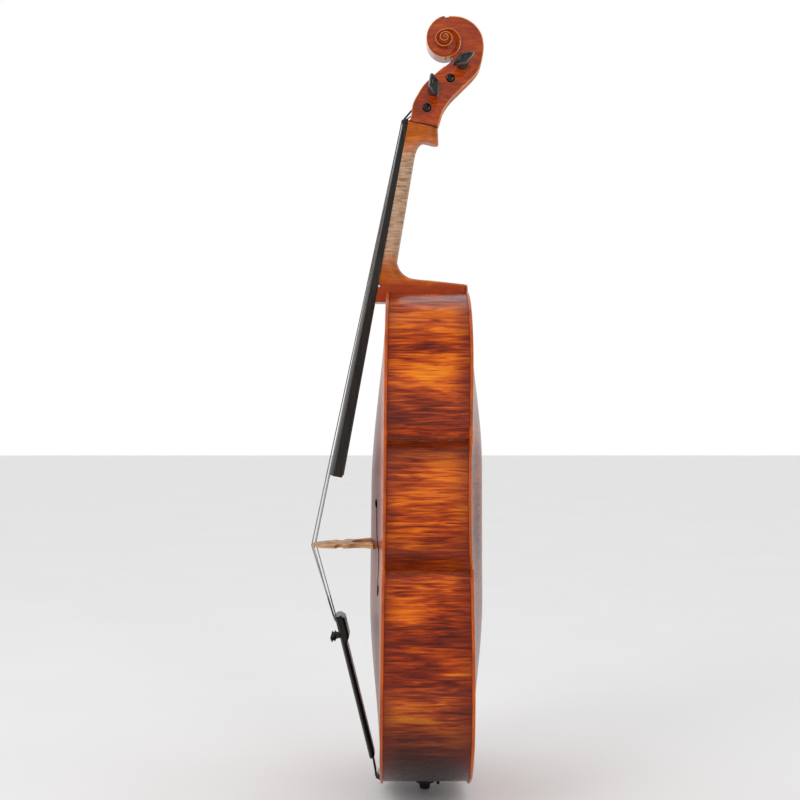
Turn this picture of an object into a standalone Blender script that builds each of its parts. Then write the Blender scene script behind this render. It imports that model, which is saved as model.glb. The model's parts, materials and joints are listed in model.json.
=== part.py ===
"""A full-size cello, built as its separate pieces.

The body stands upright: +Z runs up the body, -Y is the string side and +X the treble side.
The origin is the middle of the flat underside of the endpin's foot, with the endpin pushed in.
"""

import math

import bpy
import bmesh
from mathutils import Matrix, Vector
from mathutils.bvhtree import BVHTree

# Fits
FIT = 0.0003
RUN = 0.0004
BED = 0.0006

# Body
BODY_LENGTH = 0.764
UPPER_WIDTH = 0.345
WAIST_WIDTH = 0.242
LOWER_WIDTH = 0.440
UPPER_BOUT_HEIGHT = 0.648 / 0.764 * BODY_LENGTH
WAIST_HEIGHT = 0.436 / 0.764 * BODY_LENGTH
LOWER_BOUT_HEIGHT = 0.165 / 0.764 * BODY_LENGTH
UPPER_CORNER = (0.1535, 0.5344 / 0.764 * BODY_LENGTH)
LOWER_CORNER = (0.1815, 0.3443 / 0.764 * BODY_LENGTH)
CORNER_REACH = 0.0045
OVERHANG = 0.0035
PLATE = 0.0046
RIB = 0.0015
FRONT_EDGE_TOP = 0.0605
FRONT_EDGE_BOTTOM = 0.0695
BACK_EDGE = 0.0672
BELLY_ARCH = 0.0202
BACK_ARCH = 0.0231
ARCH_MARGIN = 0.012
BELLY_RISE_TOP = 0.310
BELLY_RISE_BOTTOM = 0.290
BACK_RISE_TOP = 0.280
BACK_RISE_BOTTOM = 0.285
BUTTON_RADIUS = 0.0150
BUTTON_RISE = 0.0115

# Blocks, linings, bar and post
TOP_BLOCK = (0.078, 0.030)
END_BLOCK = (0.070, 0.026)
CORNER_BLOCK = 0.036
LINING = (0.0025, 0.013)
BAR_OFFSET = 0.030
BAR_WIDTH = 0.010
BAR_DEPTH = 0.022
BAR_ENDS = (0.130 / 0.764 * BODY_LENGTH, 0.690 / 0.764 * BODY_LENGTH)
POST_OFFSET = 0.027
POST_BELOW_BRIDGE = 0.014
POST_RADIUS = 0.0055

# F-holes: middles of the upper and lower eyes, measured from the body's lower edge
UPPER_EYE = (0.050, 0.4340 / 0.764 * BODY_LENGTH)
LOWER_EYE = (0.101, 0.3070 / 0.764 * BODY_LENGTH)
UPPER_EYE_RADIUS = 0.0065
LOWER_EYE_RADIUS = 0.0085
F_SLOT = 0.0056
F_BEND = 0.050
F_REACH = (-0.110, -0.045)

# Neck, fingerboard and nut
NECK_LENGTH = 0.2665
GRAFT = NECK_LENGTH + 0.0035
GRAFT_BACK = (0.2691, 0.0478)
NECK_ANGLE = math.radians(10.45)
NECK_FRONT = 0.0752
ROOT_DEPTH = 0.0180
ROOT_FRONT = 0.0210
ROOT_BACK = 0.0150
NUT_HALF = 0.0155
HEEL_HALF = 0.0195
NECK_THICK_TOP = 0.0199
NECK_THICK_LOW = 0.0226
BOARD_LENGTH = 0.5635
BOARD_END_WIDTH = 0.062
BOARD_NUT_THICK = 0.0088
BOARD_END_THICK = 0.0220
BOARD_RADIUS = 0.062
BOARD_HOLLOW = 0.0045
NUT_LENGTH = 0.0070
NUT_STRINGS = 0.0104

# Pegbox, scroll and pegs, as depth behind and height above the neck's upper end
PEGBOX_HALF = 0.0185
THROAT_HALF = 0.0150
THROAT_HEIGHT = 0.1020
CHEEK = 0.0062
PEG_SPOTS = {"c": (0.0298, 0.0248, -1), "a": (0.0401, 0.0516, 1),
             "g": (0.0668, 0.0716, -1), "d": (0.0854, 0.0928, 1)}
PEG_RADIUS = 0.0066
PEG_TAPER = 0.0010
PEG_OUT = 0.0020
PEG_REACH = 0.060
PEG_HEAD = (0.0380, 0.0300, 0.0170)
PEG_HEAD_AWAY = 0.0400
PEG_TURNS = {"c": 85.0, "a": 103.0, "g": 99.0, "d": 30.0}
SCROLL_EYE = (0.0581, 0.1332)
SCROLL_HALF = 0.0320

# Strings and bridge
STRINGS = (("c", 0.00080), ("g", 0.00065), ("d", 0.00050), ("a", 0.00040))
NUT_SPREAD = 0.0220
PASSING = PEG_RADIUS + 0.0018
BRIDGE_SPREAD = 0.0470
TAIL_SPREAD = 0.0420
BRIDGE_HEIGHT = 0.3630 / 0.764 * BODY_LENGTH
BRIDGE_TOP = 0.0930
BRIDGE_HALF = 0.0460
BRIDGE_FOOT = 0.0085
BRIDGE_CREST = 0.0028
CREST_RADIUS = 0.0520
HEART_RADIUS = 0.0085
HEART_UP = 0.0600

# Tailpiece and its tuners, in the tailpiece's own plane
TAIL_TOP = (-0.1377, 0.2545)
TAIL_ANGLE = math.radians(13.8)
TAIL_LENGTH = 0.2315
TAIL_HALF_TOP = 0.0270
TAIL_HALF_LOW = 0.0170
TAIL_THICK = 0.0100
HOUSING = (0.0440, 0.0062)
SLOT_WIDTH = 0.0050
LEVER_WIDTH = 0.0040
SCREW_DOWN = 0.0320
SCREW_RADIUS = 0.0016
AXLE_DOWN = 0.0160
AXLE_OUT = -0.0050
AXLE_LENGTH = 0.0500
AXLE_RADIUS = 0.0010
CORD_RADIUS = 0.0013
CORD_POCKET = (0.0130, 0.0070)
CORD_DEPTH = -0.0008
SADDLE = (0.036, 0.008, 0.0060)

# Endpin
FOOT_HEIGHT = 0.0100
FOOT_RADIUS = 0.0090
COLLAR_HEIGHT = 0.0128
COLLAR_RADIUS = 0.0155
GROOVE_RADIUS = 0.0130
PLUG_RADIUS = 0.0125
PLUG_LENGTH = 0.0380
ROD_RADIUS = 0.0050
ROD_LENGTH = 0.4700
THUMB_RADIUS = 0.0075
THUMB_SHANK = 0.0020
FOOT_FLOOR = 0.0040

BODY_LOW = FOOT_HEIGHT + FIT + COLLAR_HEIGHT + FIT - OVERHANG
BODY_TOP = BODY_LOW + BODY_LENGTH
RIB_LOW = BODY_LOW + OVERHANG
RIB_TOP = BODY_TOP - OVERHANG

NECK_UP = Vector((0.0, math.sin(NECK_ANGLE), math.cos(NECK_ANGLE)))
NECK_OUT = Vector((0.0, -math.cos(NECK_ANGLE), math.sin(NECK_ANGLE)))
NECK_BASE = Vector((0.0, -NECK_FRONT, BODY_TOP))
TAIL_UP = Vector((0.0, -math.sin(TAIL_ANGLE), math.cos(TAIL_ANGLE)))
TAIL_OUT = Vector((0.0, -math.cos(TAIL_ANGLE), -math.sin(TAIL_ANGLE)))
TAIL_BASE = Vector((0.0, TAIL_TOP[0], BODY_LOW + TAIL_TOP[1]))
RIGHT = Vector((1.0, 0.0, 0.0))


# Scene, materials and objects

def clear_scene():
    for obj in list(bpy.data.objects):
        bpy.data.objects.remove(obj)


def new_collection(name):
    collection = bpy.data.collections.new(name)
    bpy.context.scene.collection.children.link(collection)
    return collection


def material(name, colour, roughness, metallic=0.0):
    made = bpy.data.materials.get(name)
    if made is None:
        made = bpy.data.materials.new(name)
        made.use_nodes = True
        shader = made.node_tree.nodes["Principled BSDF"]
        shader.inputs["Base Color"].default_value = (*colour, 1.0)
        shader.inputs["Roughness"].default_value = roughness
        shader.inputs["Metallic"].default_value = metallic
        made.diffuse_color = (*colour, 1.0)
    return made


def flamed_maple():
    return material("varnished_maple", (0.56, 0.17, 0.04), 0.25)


def spruce_varnish():
    return material("varnished_spruce", (0.50, 0.13, 0.03), 0.28)


def bare_maple():
    return material("bare_maple", (0.60, 0.38, 0.22), 0.5)


def inner_wood():
    return material("inner_wood", (0.62, 0.46, 0.28), 0.7)


def ebony():
    return material("ebony", (0.025, 0.020, 0.018), 0.35)


def composite():
    return material("composite", (0.015, 0.015, 0.015), 0.45)


def steel():
    return material("string_steel", (0.35, 0.32, 0.30), 0.3, 1.0)


def black_metal():
    return material("black_metal", (0.02, 0.02, 0.02), 0.35, 0.8)


def rubber():
    return material("foot_rubber", (0.02, 0.02, 0.02), 0.8)


def place(obj, look, collection):
    if look is not None:
        obj.data.materials.append(look)
    collection.objects.link(obj)
    if collection is CUTTERS:
        obj.hide_render = True
        obj.display_type = "WIRE"
    return obj


def mesh_object(name, shape, look, collection=None):
    bmesh.ops.recalc_face_normals(shape, faces=shape.faces)
    mesh = bpy.data.meshes.new(name)
    shape.to_mesh(mesh)
    shape.free()
    return place(bpy.data.objects.new(name, mesh), look, collection or PARTS)


def loft(name, sections, look, collection=None, closed=False):
    """A solid through equal-length rings of points."""
    shape = bmesh.new()
    rings = [[shape.verts.new(point) for point in section] for section in sections]
    count = len(sections[0])
    pairs = list(zip(rings, rings[1:]))
    if closed:
        pairs.append((rings[-1], rings[0]))
    for low, high in pairs:
        for i in range(count):
            j = (i + 1) % count
            shape.faces.new((low[i], low[j], high[j], high[i]))
    if not closed:
        shape.faces.new(rings[0][::-1])
        shape.faces.new(rings[-1])
    return mesh_object(name, shape, look, collection)


def turned(name, profile, look, centre, axis, sides=24, collection=None):
    """A profile of (radius, height) points, run down its outer side, turned about an axis."""
    mesh = bpy.data.meshes.new(name)
    points = [(radius, 0.0, height) for radius, height in profile]
    pairs = [(i, (i + 1) % len(points)) for i in range(len(points))]
    edges = [(a, b) for a, b in pairs if profile[a][0] > 0.0 or profile[b][0] > 0.0]
    mesh.from_pydata(points, edges, [])
    obj = place(bpy.data.objects.new(name, mesh), look, collection or PARTS)
    screw = obj.modifiers.new("turn", "SCREW")
    screw.steps = sides
    screw.render_steps = sides
    screw.use_merge_vertices = True
    screw.merge_threshold = 0.00002
    obj.location = centre
    obj.rotation_euler = Vector(axis).to_track_quat("Z", "Y").to_euler()
    return obj


def flat_outline(name, outlines, thickness, look, matrix, collection=None):
    """A filled flat curve, with the later outlines as holes, made into a mesh."""
    curve = bpy.data.curves.new(name, "CURVE")
    curve.dimensions = "2D"
    curve.fill_mode = "BOTH"
    curve.extrude = thickness / 2
    for outline in outlines:
        spline = curve.splines.new("POLY")
        spline.points.add(len(outline) - 1)
        for point, (x, y) in zip(spline.points, outline):
            point.co = (x, y, 0.0, 1.0)
        spline.use_cyclic_u = True
    guide = bpy.data.objects.new(name + "_guide", curve)
    bpy.context.scene.collection.objects.link(guide)
    guide.matrix_world = matrix
    bpy.context.view_layer.update()
    graph = bpy.context.evaluated_depsgraph_get()
    mesh = bpy.data.meshes.new_from_object(guide.evaluated_get(graph))
    shape = bmesh.new()
    shape.from_mesh(mesh)
    bmesh.ops.remove_doubles(shape, verts=shape.verts, dist=0.00001)
    obj = mesh_object(name, shape, look, collection)
    obj.matrix_world = matrix
    bpy.data.objects.remove(guide)
    return obj


def tube(name, points, radius, look, cyclic=False):
    curve = bpy.data.curves.new(name, "CURVE")
    curve.dimensions = "3D"
    curve.bevel_depth = radius
    curve.bevel_resolution = 2
    curve.use_fill_caps = not cyclic
    spline = curve.splines.new("POLY")
    spline.points.add(len(points) - 1)
    for target, point in zip(spline.points, points):
        target.co = (*point, 1.0)
    spline.use_cyclic_u = cyclic
    return place(bpy.data.objects.new(name, curve), look, PARTS)


def cylinder(name, radius, length, centre, axis, look=None, collection=None, sides=24,
             low_radius=None):
    shape = bmesh.new()
    low = radius if low_radius is None else low_radius
    bmesh.ops.create_cone(shape, cap_ends=True, segments=sides, radius1=low, radius2=radius,
                          depth=length)
    obj = mesh_object(name, shape, look, collection)
    obj.location = centre
    obj.rotation_euler = Vector(axis).to_track_quat("Z", "Y").to_euler()
    return obj


def box(name, size, matrix, look=None, collection=None):
    shape = bmesh.new()
    bmesh.ops.create_cube(shape, size=1.0)
    bmesh.ops.scale(shape, vec=size, verts=shape.verts)
    obj = mesh_object(name, shape, look, collection)
    obj.matrix_world = matrix
    return obj


def cut(obj, cutter, operation="DIFFERENCE"):
    boolean = obj.modifiers.new(cutter.name, "BOOLEAN")
    boolean.operation = operation
    boolean.solver = "EXACT"
    boolean.object = cutter


def surface_tree(obj):
    bpy.context.view_layer.update()
    graph = bpy.context.evaluated_depsgraph_get()
    mesh = obj.evaluated_get(graph).to_mesh()
    shape = bmesh.new()
    shape.from_mesh(mesh)
    shape.transform(obj.matrix_world)
    tree = BVHTree.FromBMesh(shape)
    shape.free()
    return tree


# The body's outline and its arching

def bezier(p0, p1, p2, p3, steps):
    points = []
    for i in range(steps + 1):
        t = i / steps
        s = 1.0 - t
        weights = (s * s * s, 3 * s * s * t, 3 * s * t * t, t * t * t)
        corners = list(zip(weights, (p0, p1, p2, p3)))
        points.append(tuple(sum(weight * corner[k] for weight, corner in corners) for k in (0, 1)))
    return points


def shifted(point, direction, distance):
    return (point[0] + direction[0] * distance, point[1] + direction[1] * distance)


def offset(path, distance):
    """The path moved to the left of its run, which is outward on the treble side."""
    moved = []
    for i, (x, z) in enumerate(path):
        before = path[max(i - 1, 0)]
        after = path[min(i + 1, len(path) - 1)]
        run = Vector((after[0] - before[0], after[1] - before[1])).normalized()
        moved.append((x - run.y * distance, z + run.x * distance))
    return moved


UPPER_OUT = (0.930, -0.364)
LOWER_OUT = (0.940, 0.342)


def corner_pair(corner, outward):
    """The two rib ends that meet at a corner: the upper one and the lower one."""
    tip = (corner[0], BODY_LOW + corner[1])
    across = (-outward[1], outward[0])
    half = RIB + FIT
    return shifted(tip, across, half), shifted(tip, across, -half)


def rib_paths():
    """The ribs' outer faces on the treble side, each running down the body."""
    upper_half = UPPER_WIDTH / 2 - OVERHANG
    waist_half = WAIST_WIDTH / 2 - OVERHANG
    lower_half = LOWER_WIDTH / 2 - OVERHANG
    upper = BODY_LOW + UPPER_BOUT_HEIGHT
    waist = BODY_LOW + WAIST_HEIGHT
    lower = BODY_LOW + LOWER_BOUT_HEIGHT
    upper_end, middle_start = corner_pair(UPPER_CORNER, UPPER_OUT)
    middle_end, lower_start = corner_pair(LOWER_CORNER, LOWER_OUT)
    shoulder = upper + 0.57 * (RIB_TOP - upper)
    hip = lower - 0.60 * (lower - RIB_LOW)
    top = bezier((0.0, RIB_TOP), (0.5 * upper_half, RIB_TOP), (upper_half, shoulder),
                 (upper_half, upper), 8)
    top += bezier((upper_half, upper), (upper_half, upper - 0.050),
                  shifted(upper_end, (-0.67, 0.75), 0.028), upper_end, 6)[1:]
    middle = bezier(middle_start, shifted(middle_start, (-0.995, -0.0995), 0.026),
                    (waist_half, waist + 0.046), (waist_half, waist), 5)
    middle += bezier((waist_half, waist), (waist_half, waist - 0.042),
                     shifted(middle_end, (-0.990, 0.150), 0.036), middle_end, 5)[1:]
    low = bezier(lower_start, shifted(lower_start, (-0.66, -0.75), 0.028),
                 (lower_half, lower + 0.095), (lower_half, lower), 6)
    low += bezier((lower_half, lower), (lower_half, hip), (0.52 * lower_half, RIB_LOW),
                  (0.0, RIB_LOW), 8)[1:]
    return top, middle, low


def plate_outline(button=False):
    """The treble half of a plate's edge, from the top of the body to its bottom."""
    top, middle, low = (offset(path, OVERHANG) for path in rib_paths())
    upper_tips = [shifted(point, UPPER_OUT, CORNER_REACH) for point in (top[-1], middle[0])]
    lower_tips = [shifted(point, LOWER_OUT, CORNER_REACH) for point in (middle[-1], low[0])]
    outline = top[:-1] + upper_tips + middle[1:-1] + lower_tips + low[1:]
    if button:
        middle_height = BODY_TOP + BUTTON_RISE - BUTTON_RADIUS
        arc = []
        for i in range(7):
            turn = math.radians(15 * i)
            arc.append((BUTTON_RADIUS * math.sin(turn),
                        middle_height + BUTTON_RADIUS * math.cos(turn)))
        arc.append((BUTTON_RADIUS, BODY_TOP - 0.0006))
        beside = BUTTON_RADIUS + 0.002
        outline = arc + [(x, z) for x, z in outline if x > beside or z < BODY_TOP / 2]
    return outline


def arch_edge():
    """The treble half of the line where the arching starts, from the top down."""
    upper_half = UPPER_WIDTH / 2 - ARCH_MARGIN
    waist_half = WAIST_WIDTH / 2 - ARCH_MARGIN
    lower_half = LOWER_WIDTH / 2 - ARCH_MARGIN
    top = BODY_TOP - ARCH_MARGIN
    bottom = BODY_LOW + ARCH_MARGIN
    upper = BODY_LOW + UPPER_BOUT_HEIGHT
    waist = BODY_LOW + WAIST_HEIGHT
    lower = BODY_LOW + LOWER_BOUT_HEIGHT
    edge = bezier((0.0, top), (0.5 * upper_half, top),
                  (upper_half, upper + 0.6 * (top - upper)), (upper_half, upper), 16)
    edge += bezier((upper_half, upper), (upper_half, upper - 0.4 * (upper - waist)),
                   (waist_half, waist + 0.4 * (upper - waist)), (waist_half, waist), 12)[1:]
    edge += bezier((waist_half, waist), (waist_half, waist - 0.3 * (waist - lower)),
                   (lower_half, lower + 0.47 * (waist - lower)), (lower_half, lower), 12)[1:]
    edge += bezier((lower_half, lower), (lower_half, lower - 0.6 * (lower - bottom)),
                   (0.5 * lower_half, bottom), (0.0, bottom), 16)[1:]
    return edge


def arch_half_width(z):
    for (x0, z0), (x1, z1) in zip(ARCH_EDGE, ARCH_EDGE[1:]):
        if z1 <= z <= z0 and z0 > z1:
            return x0 + (x1 - x0) * (z0 - z) / (z0 - z1)
    return 0.0


def smooth(share):
    return math.sin(math.pi / 2 * min(max(share, 0.0), 1.0)) ** 2


def arch_rise(x, z, height, rise_top, rise_bottom):
    half = arch_half_width(z)
    if half <= abs(x):
        return 0.0
    long_arch = min(smooth((BODY_TOP - z) / rise_top), smooth((z - BODY_LOW) / rise_bottom))
    return height * long_arch * smooth(1.0 - abs(x) / half)


def front_edge(z):
    share = (BODY_TOP - z) / BODY_LENGTH
    return -(FRONT_EDGE_TOP + (FRONT_EDGE_BOTTOM - FRONT_EDGE_TOP) * share)


def belly_y(x, z):
    return front_edge(z) - arch_rise(x, z, BELLY_ARCH, BELLY_RISE_TOP, BELLY_RISE_BOTTOM)


def back_y(x, z):
    return BACK_EDGE + arch_rise(x, z, BACK_ARCH, BACK_RISE_TOP, BACK_RISE_BOTTOM)


def front_inside(z):
    return front_edge(z) + PLATE + FIT


def back_inside(z):
    return BACK_EDGE - PLATE - FIT


# Plates

def arched_plate(name, outline, surface, look, facing):
    """An arched sheet over an outline and its mirror image, thickened inward."""
    loop = outline + [(-x, z) for x, z in outline[-2:0:-1]]
    low_middle = BODY_LOW + 0.200
    high_middle = BODY_LOW + UPPER_CORNER[1] + 0.010
    shape = bmesh.new()
    rings = []
    for share in (0.0, 0.07, 0.22, 0.40, 0.60, 0.80, 1.0):
        ring = []
        for x, z in loop:
            middle = min(max(z, low_middle), high_middle)
            px = x * (1.0 - share)
            pz = z + (middle - z) * share
            ring.append(shape.verts.new((px, surface(px, pz), pz)))
        rings.append(ring)
    count = len(loop)
    for outer, inner in zip(rings, rings[1:]):
        for i in range(count):
            j = (i + 1) % count
            shape.faces.new((outer[i], outer[j], inner[j], inner[i]))
    bmesh.ops.remove_doubles(shape, verts=shape.verts, dist=0.00001)
    bmesh.ops.recalc_face_normals(shape, faces=shape.faces)
    if sum(face.normal.y for face in shape.faces) * facing < 0.0:
        bmesh.ops.reverse_faces(shape, faces=shape.faces)
    mesh = bpy.data.meshes.new(name)
    shape.to_mesh(mesh)
    shape.free()
    obj = place(bpy.data.objects.new(name, mesh), look, PARTS)
    shell = obj.modifiers.new("thickness", "SOLIDIFY")
    shell.thickness = PLATE
    shell.offset = -1.0
    return obj


def f_hole_cutters(side, hand):
    """The cutters of one f-hole: two round eyes and the slanting slot that joins them."""
    upper = (hand * UPPER_EYE[0], BODY_LOW + UPPER_EYE[1])
    lower = (hand * LOWER_EYE[0], BODY_LOW + LOWER_EYE[1])
    half = F_SLOT / 2
    start = (upper[0] + hand * (UPPER_EYE_RADIUS - half), upper[1])
    end = (lower[0] - hand * (LOWER_EYE_RADIUS - half), lower[1])
    halfway = ((start[0] + end[0]) / 2, (start[1] + end[1]) / 2)
    line = bezier(start, start, (start[0], start[1] - F_BEND), halfway, 6)
    line += bezier(halfway, (end[0], end[1] + F_BEND), end, end, 6)[1:]
    ribbon = offset(line, half) + offset(line, -half)[::-1]
    front, back = F_REACH
    slot = prism(f"f_slot_{side}", ribbon, front, back, None, CUTTERS)
    eyes = []
    spots = (("upper", upper, UPPER_EYE_RADIUS), ("lower", lower, LOWER_EYE_RADIUS))
    for word, (x, z), radius in spots:
        eyes.append(cylinder(f"f_eye_{word}_{side}", radius, back - front,
                             (x, (front + back) / 2, z), (0, 1, 0), None, CUTTERS, 16))
    return [slot] + eyes


def prism(name, outline, front, back, look, collection=None):
    """An outline in the body's plane, run from front to back; front and back may depend on height."""
    front_at = front if callable(front) else lambda z: front
    back_at = back if callable(back) else lambda z: back
    sections = [[(x, front_at(z), z) for x, z in outline], [(x, back_at(z), z) for x, z in outline]]
    return loft(name, sections, look, collection)


def mirrored(path, hand):
    return [(hand * x, z) for x, z in path]


# Ribs, blocks and linings

def rib(name, path, hand):
    outer = mirrored(path, hand)
    inner = mirrored(offset(path, -RIB), hand)
    return prism(name, outer + inner[::-1], front_inside, back_inside, flamed_maple())


def trimmed(path, start, end):
    """The part of a path between two distances along it."""
    lengths = [0.0]
    for a, b in zip(path, path[1:]):
        lengths.append(lengths[-1] + math.dist(a, b))
    end = lengths[-1] - end

    def at(distance):
        for i in range(len(path) - 1):
            if lengths[i] <= distance <= lengths[i + 1]:
                share = (distance - lengths[i]) / (lengths[i + 1] - lengths[i])
                return tuple(path[i][k] + (path[i + 1][k] - path[i][k]) * share for k in (0, 1))
        return path[-1]

    near = 0.002
    inside = [(length, point) for length, point in zip(lengths, path) if start < length < end]
    run = [point for _, point in inside]
    if inside[0][0] - start > near:
        run.insert(0, at(start))
    if end - inside[-1][0] > near:
        run.append(at(end))
    return run


def path_length(path):
    return sum(math.dist(a, b) for a, b in zip(path, path[1:]))


def inside_of(path):
    """The path that a piece glued inside a rib follows."""
    return offset(path, -(RIB + FIT))


def corner_block(name, upper_path, lower_path, hand):
    """A wedge between the two ribs of a corner."""
    upper_inside = inside_of(upper_path)
    lower_inside = inside_of(lower_path)
    upper_side = trimmed(upper_inside, path_length(upper_inside) - CORNER_BLOCK, 0.004)
    lower_side = trimmed(lower_inside, 0.004, path_length(lower_inside) - CORNER_BLOCK)
    outline = mirrored(upper_side + lower_side, hand)
    return prism(name, outline, front_inside, back_inside, inner_wood())


def lining_pair(name, path, start, end, hand):
    """A bent strip along each plate, glued inside one rib."""
    strip = trimmed(inside_of(path), start, end)
    outline = mirrored(strip + offset(strip, -LINING[0])[::-1], hand)
    deep = LINING[1]
    prism(f"lining_{name}_front", outline, front_inside, lambda z: front_inside(z) + deep, inner_wood())
    prism(f"lining_{name}_back", outline, lambda z: back_inside(z) - deep, back_inside, inner_wood())


def end_blocks():
    upper, _, lower = (inside_of(path) for path in rib_paths())
    top_half = TOP_BLOCK[0] / 2
    low_half = END_BLOCK[0] / 2
    top_line = [point for point in upper if point[0] < top_half] + [at_x(upper, top_half)]
    low_line = [at_x(lower[::-1], low_half)] + [point for point in lower if point[0] < low_half]
    top_outline = top_line + [(top_half, RIB_TOP - RIB - TOP_BLOCK[1])]
    top_outline += mirrored(top_outline, -1)[:0:-1]
    low_outline = [(low_half, RIB_LOW + RIB + END_BLOCK[1])] + low_line
    low_outline += mirrored(low_outline, -1)[-2::-1]
    top = prism("top_block", top_outline, front_inside, back_inside, inner_wood())
    low = prism("end_block", low_outline, front_inside, back_inside, inner_wood())
    return top, low


def at_x(path, x):
    """The point of a path, running away from the middle, where it reaches x."""
    for a, b in zip(path, path[1:]):
        if a[0] <= x <= b[0]:
            share = (x - a[0]) / (b[0] - a[0])
            return (x, a[1] + (b[1] - a[1]) * share)
    return path[-1]


def rib_garland():
    top, middle, low = rib_paths()
    joint = FIT / 2
    low = low[:-1] + [(joint, low[-1][1])]
    top = [(joint, top[0][1])] + top[1:]
    half_top = TOP_BLOCK[0] / 2 + 0.0015
    half_low = END_BLOCK[0] / 2 + 0.0015
    block = CORNER_BLOCK + 0.0015
    ribs = {}
    for side, hand in (("treble", 1), ("bass", -1)):
        ribs["upper_" + side] = rib("upper_rib_" + side, top, hand)
        ribs["middle_" + side] = rib("middle_rib_" + side, middle, hand)
        ribs["lower_" + side] = rib("lower_rib_" + side, low, hand)
        corner_block("upper_corner_block_" + side, top, middle, hand)
        corner_block("lower_corner_block_" + side, middle, low, hand)
        lining_pair("upper_" + side, top, half_top, block, hand)
        lining_pair("middle_" + side, middle, block, block, hand)
        lining_pair("lower_" + side, low, block, half_low, hand)
    return ribs


def body():
    ribs = rib_garland()
    top_block, end_block = end_blocks()
    mortise = root_prism("neck_mortise", BED, 0.010, None, CUTTERS)
    belly = arched_plate("top_plate", plate_outline(), belly_y, spruce_varnish(), -1)
    back = arched_plate("back_plate", plate_outline(True), back_y, flamed_maple(), 1)
    cutters = [mortise, saddle_shape("saddle_seat", FIT, None, CUTTERS)]
    cutters += f_hole_cutters("treble", 1) + f_hole_cutters("bass", -1)
    for cutter in cutters:
        cut(belly, cutter)
    plug_hole = cylinder("plug_hole", PLUG_RADIUS + FIT, 0.120, (0, 0, RIB_LOW), (0, 0, 1), None,
                         CUTTERS)
    cut(top_block, mortise)
    cut(end_block, plug_hole)
    for side in ("treble", "bass"):
        cut(ribs["upper_" + side], mortise)
        cut(ribs["lower_" + side], plug_hole)
    bass_bar(surface_tree(belly))
    sound_post(surface_tree(belly), surface_tree(back))
    return belly


def inner_height(tree, x, z, towards):
    hit = tree.ray_cast(Vector((x, 0.0, z)), Vector((0.0, towards, 0.0)))[0]
    return hit.y


def bass_bar(belly):
    sections = []
    count = 26
    for i in range(count + 1):
        share = i / count
        z = BODY_LOW + BAR_ENDS[0] + (BAR_ENDS[1] - BAR_ENDS[0]) * share
        left = -BAR_OFFSET - BAR_WIDTH / 2
        right = -BAR_OFFSET + BAR_WIDTH / 2
        front = [inner_height(belly, x, z, -1.0) + BED for x in (left, right)]
        depth = 0.004 + BAR_DEPTH * math.sin(math.pi * share) ** 0.8
        bottom = max(front) + depth
        sections.append([(left, front[0], z), (right, front[1], z),
                         (right, bottom, z), (left, bottom, z)])
    return loft("bass_bar", sections, inner_wood())


def sound_post(belly, back):
    z = BODY_LOW + BRIDGE_HEIGHT - POST_BELOW_BRIDGE
    fronts = []
    backs = []
    for i in range(8):
        turn = math.tau * i / 8
        x = POST_OFFSET + POST_RADIUS * math.cos(turn)
        height = z + POST_RADIUS * math.sin(turn)
        fronts.append(inner_height(belly, x, height, -1.0))
        backs.append(inner_height(back, x, height, 1.0))
    low = max(fronts) + FIT
    high = min(backs) - FIT
    return cylinder("sound_post", POST_RADIUS, high - low, (POST_OFFSET, (low + high) / 2, z),
                    (0, 1, 0), inner_wood(), None, 16)


def saddle_shape(name, spare, look, collection=None):
    """The small bridge of ebony in the belly's lower edge."""
    width, height, proud = SADDLE
    low = BODY_LOW - 0.0006
    front = front_edge(BODY_LOW) - proud
    back = front_edge(BODY_LOW) + PLATE
    deep = 0.004 if spare else 0.0
    half = width / 2 + spare
    high = low + height + spare
    profile = [(front - deep, low + 0.003 - deep), (front - deep, low + height * 0.7),
               (front + proud, high), (back + deep, high), (back + deep, low - deep),
               (front + 0.003, low - deep)]
    sections = [[(x, y, z) for y, z in profile] for x in (-half, half)]
    return loft(name, sections, look, collection)


# Neck

def neck_point(along, out=0.0, x=0.0):
    return NECK_BASE + NECK_UP * along + NECK_OUT * out + RIGHT * x


def root_half(y):
    share = (y + NECK_FRONT) / (BACK_EDGE + NECK_FRONT)
    return ROOT_FRONT + (ROOT_BACK - ROOT_FRONT) * share


def root_prism(name, spare, above, look, collection=None):
    """The neck's root, as wide as the heel, let into the body from above."""
    back = back_inside(BODY_TOP) + spare / 2
    rings = []
    for z in (BODY_TOP - ROOT_DEPTH - spare, BODY_TOP + above):
        front = -NECK_FRONT + (z - BODY_TOP) * math.tan(NECK_ANGLE)
        front += -0.004 if spare else 0.0004
        rings.append([(-root_half(front) - spare, front, z), (root_half(front) + spare, front, z),
                      (root_half(back) + spare, back, z), (-root_half(back) - spare, back, z)])
    return loft(name, rings, look, collection)


def dee_section(front, back, half, power, points=13):
    """Half an oval from one end of a straight front, round behind it, to the other end."""
    section = []
    for i in range(points):
        turn = math.pi * i / (points - 1)
        across = math.cos(turn)
        depth = math.sin(turn) ** power
        section.append(front + (back - front) * depth + RIGHT * half * across)
    return section


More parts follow.
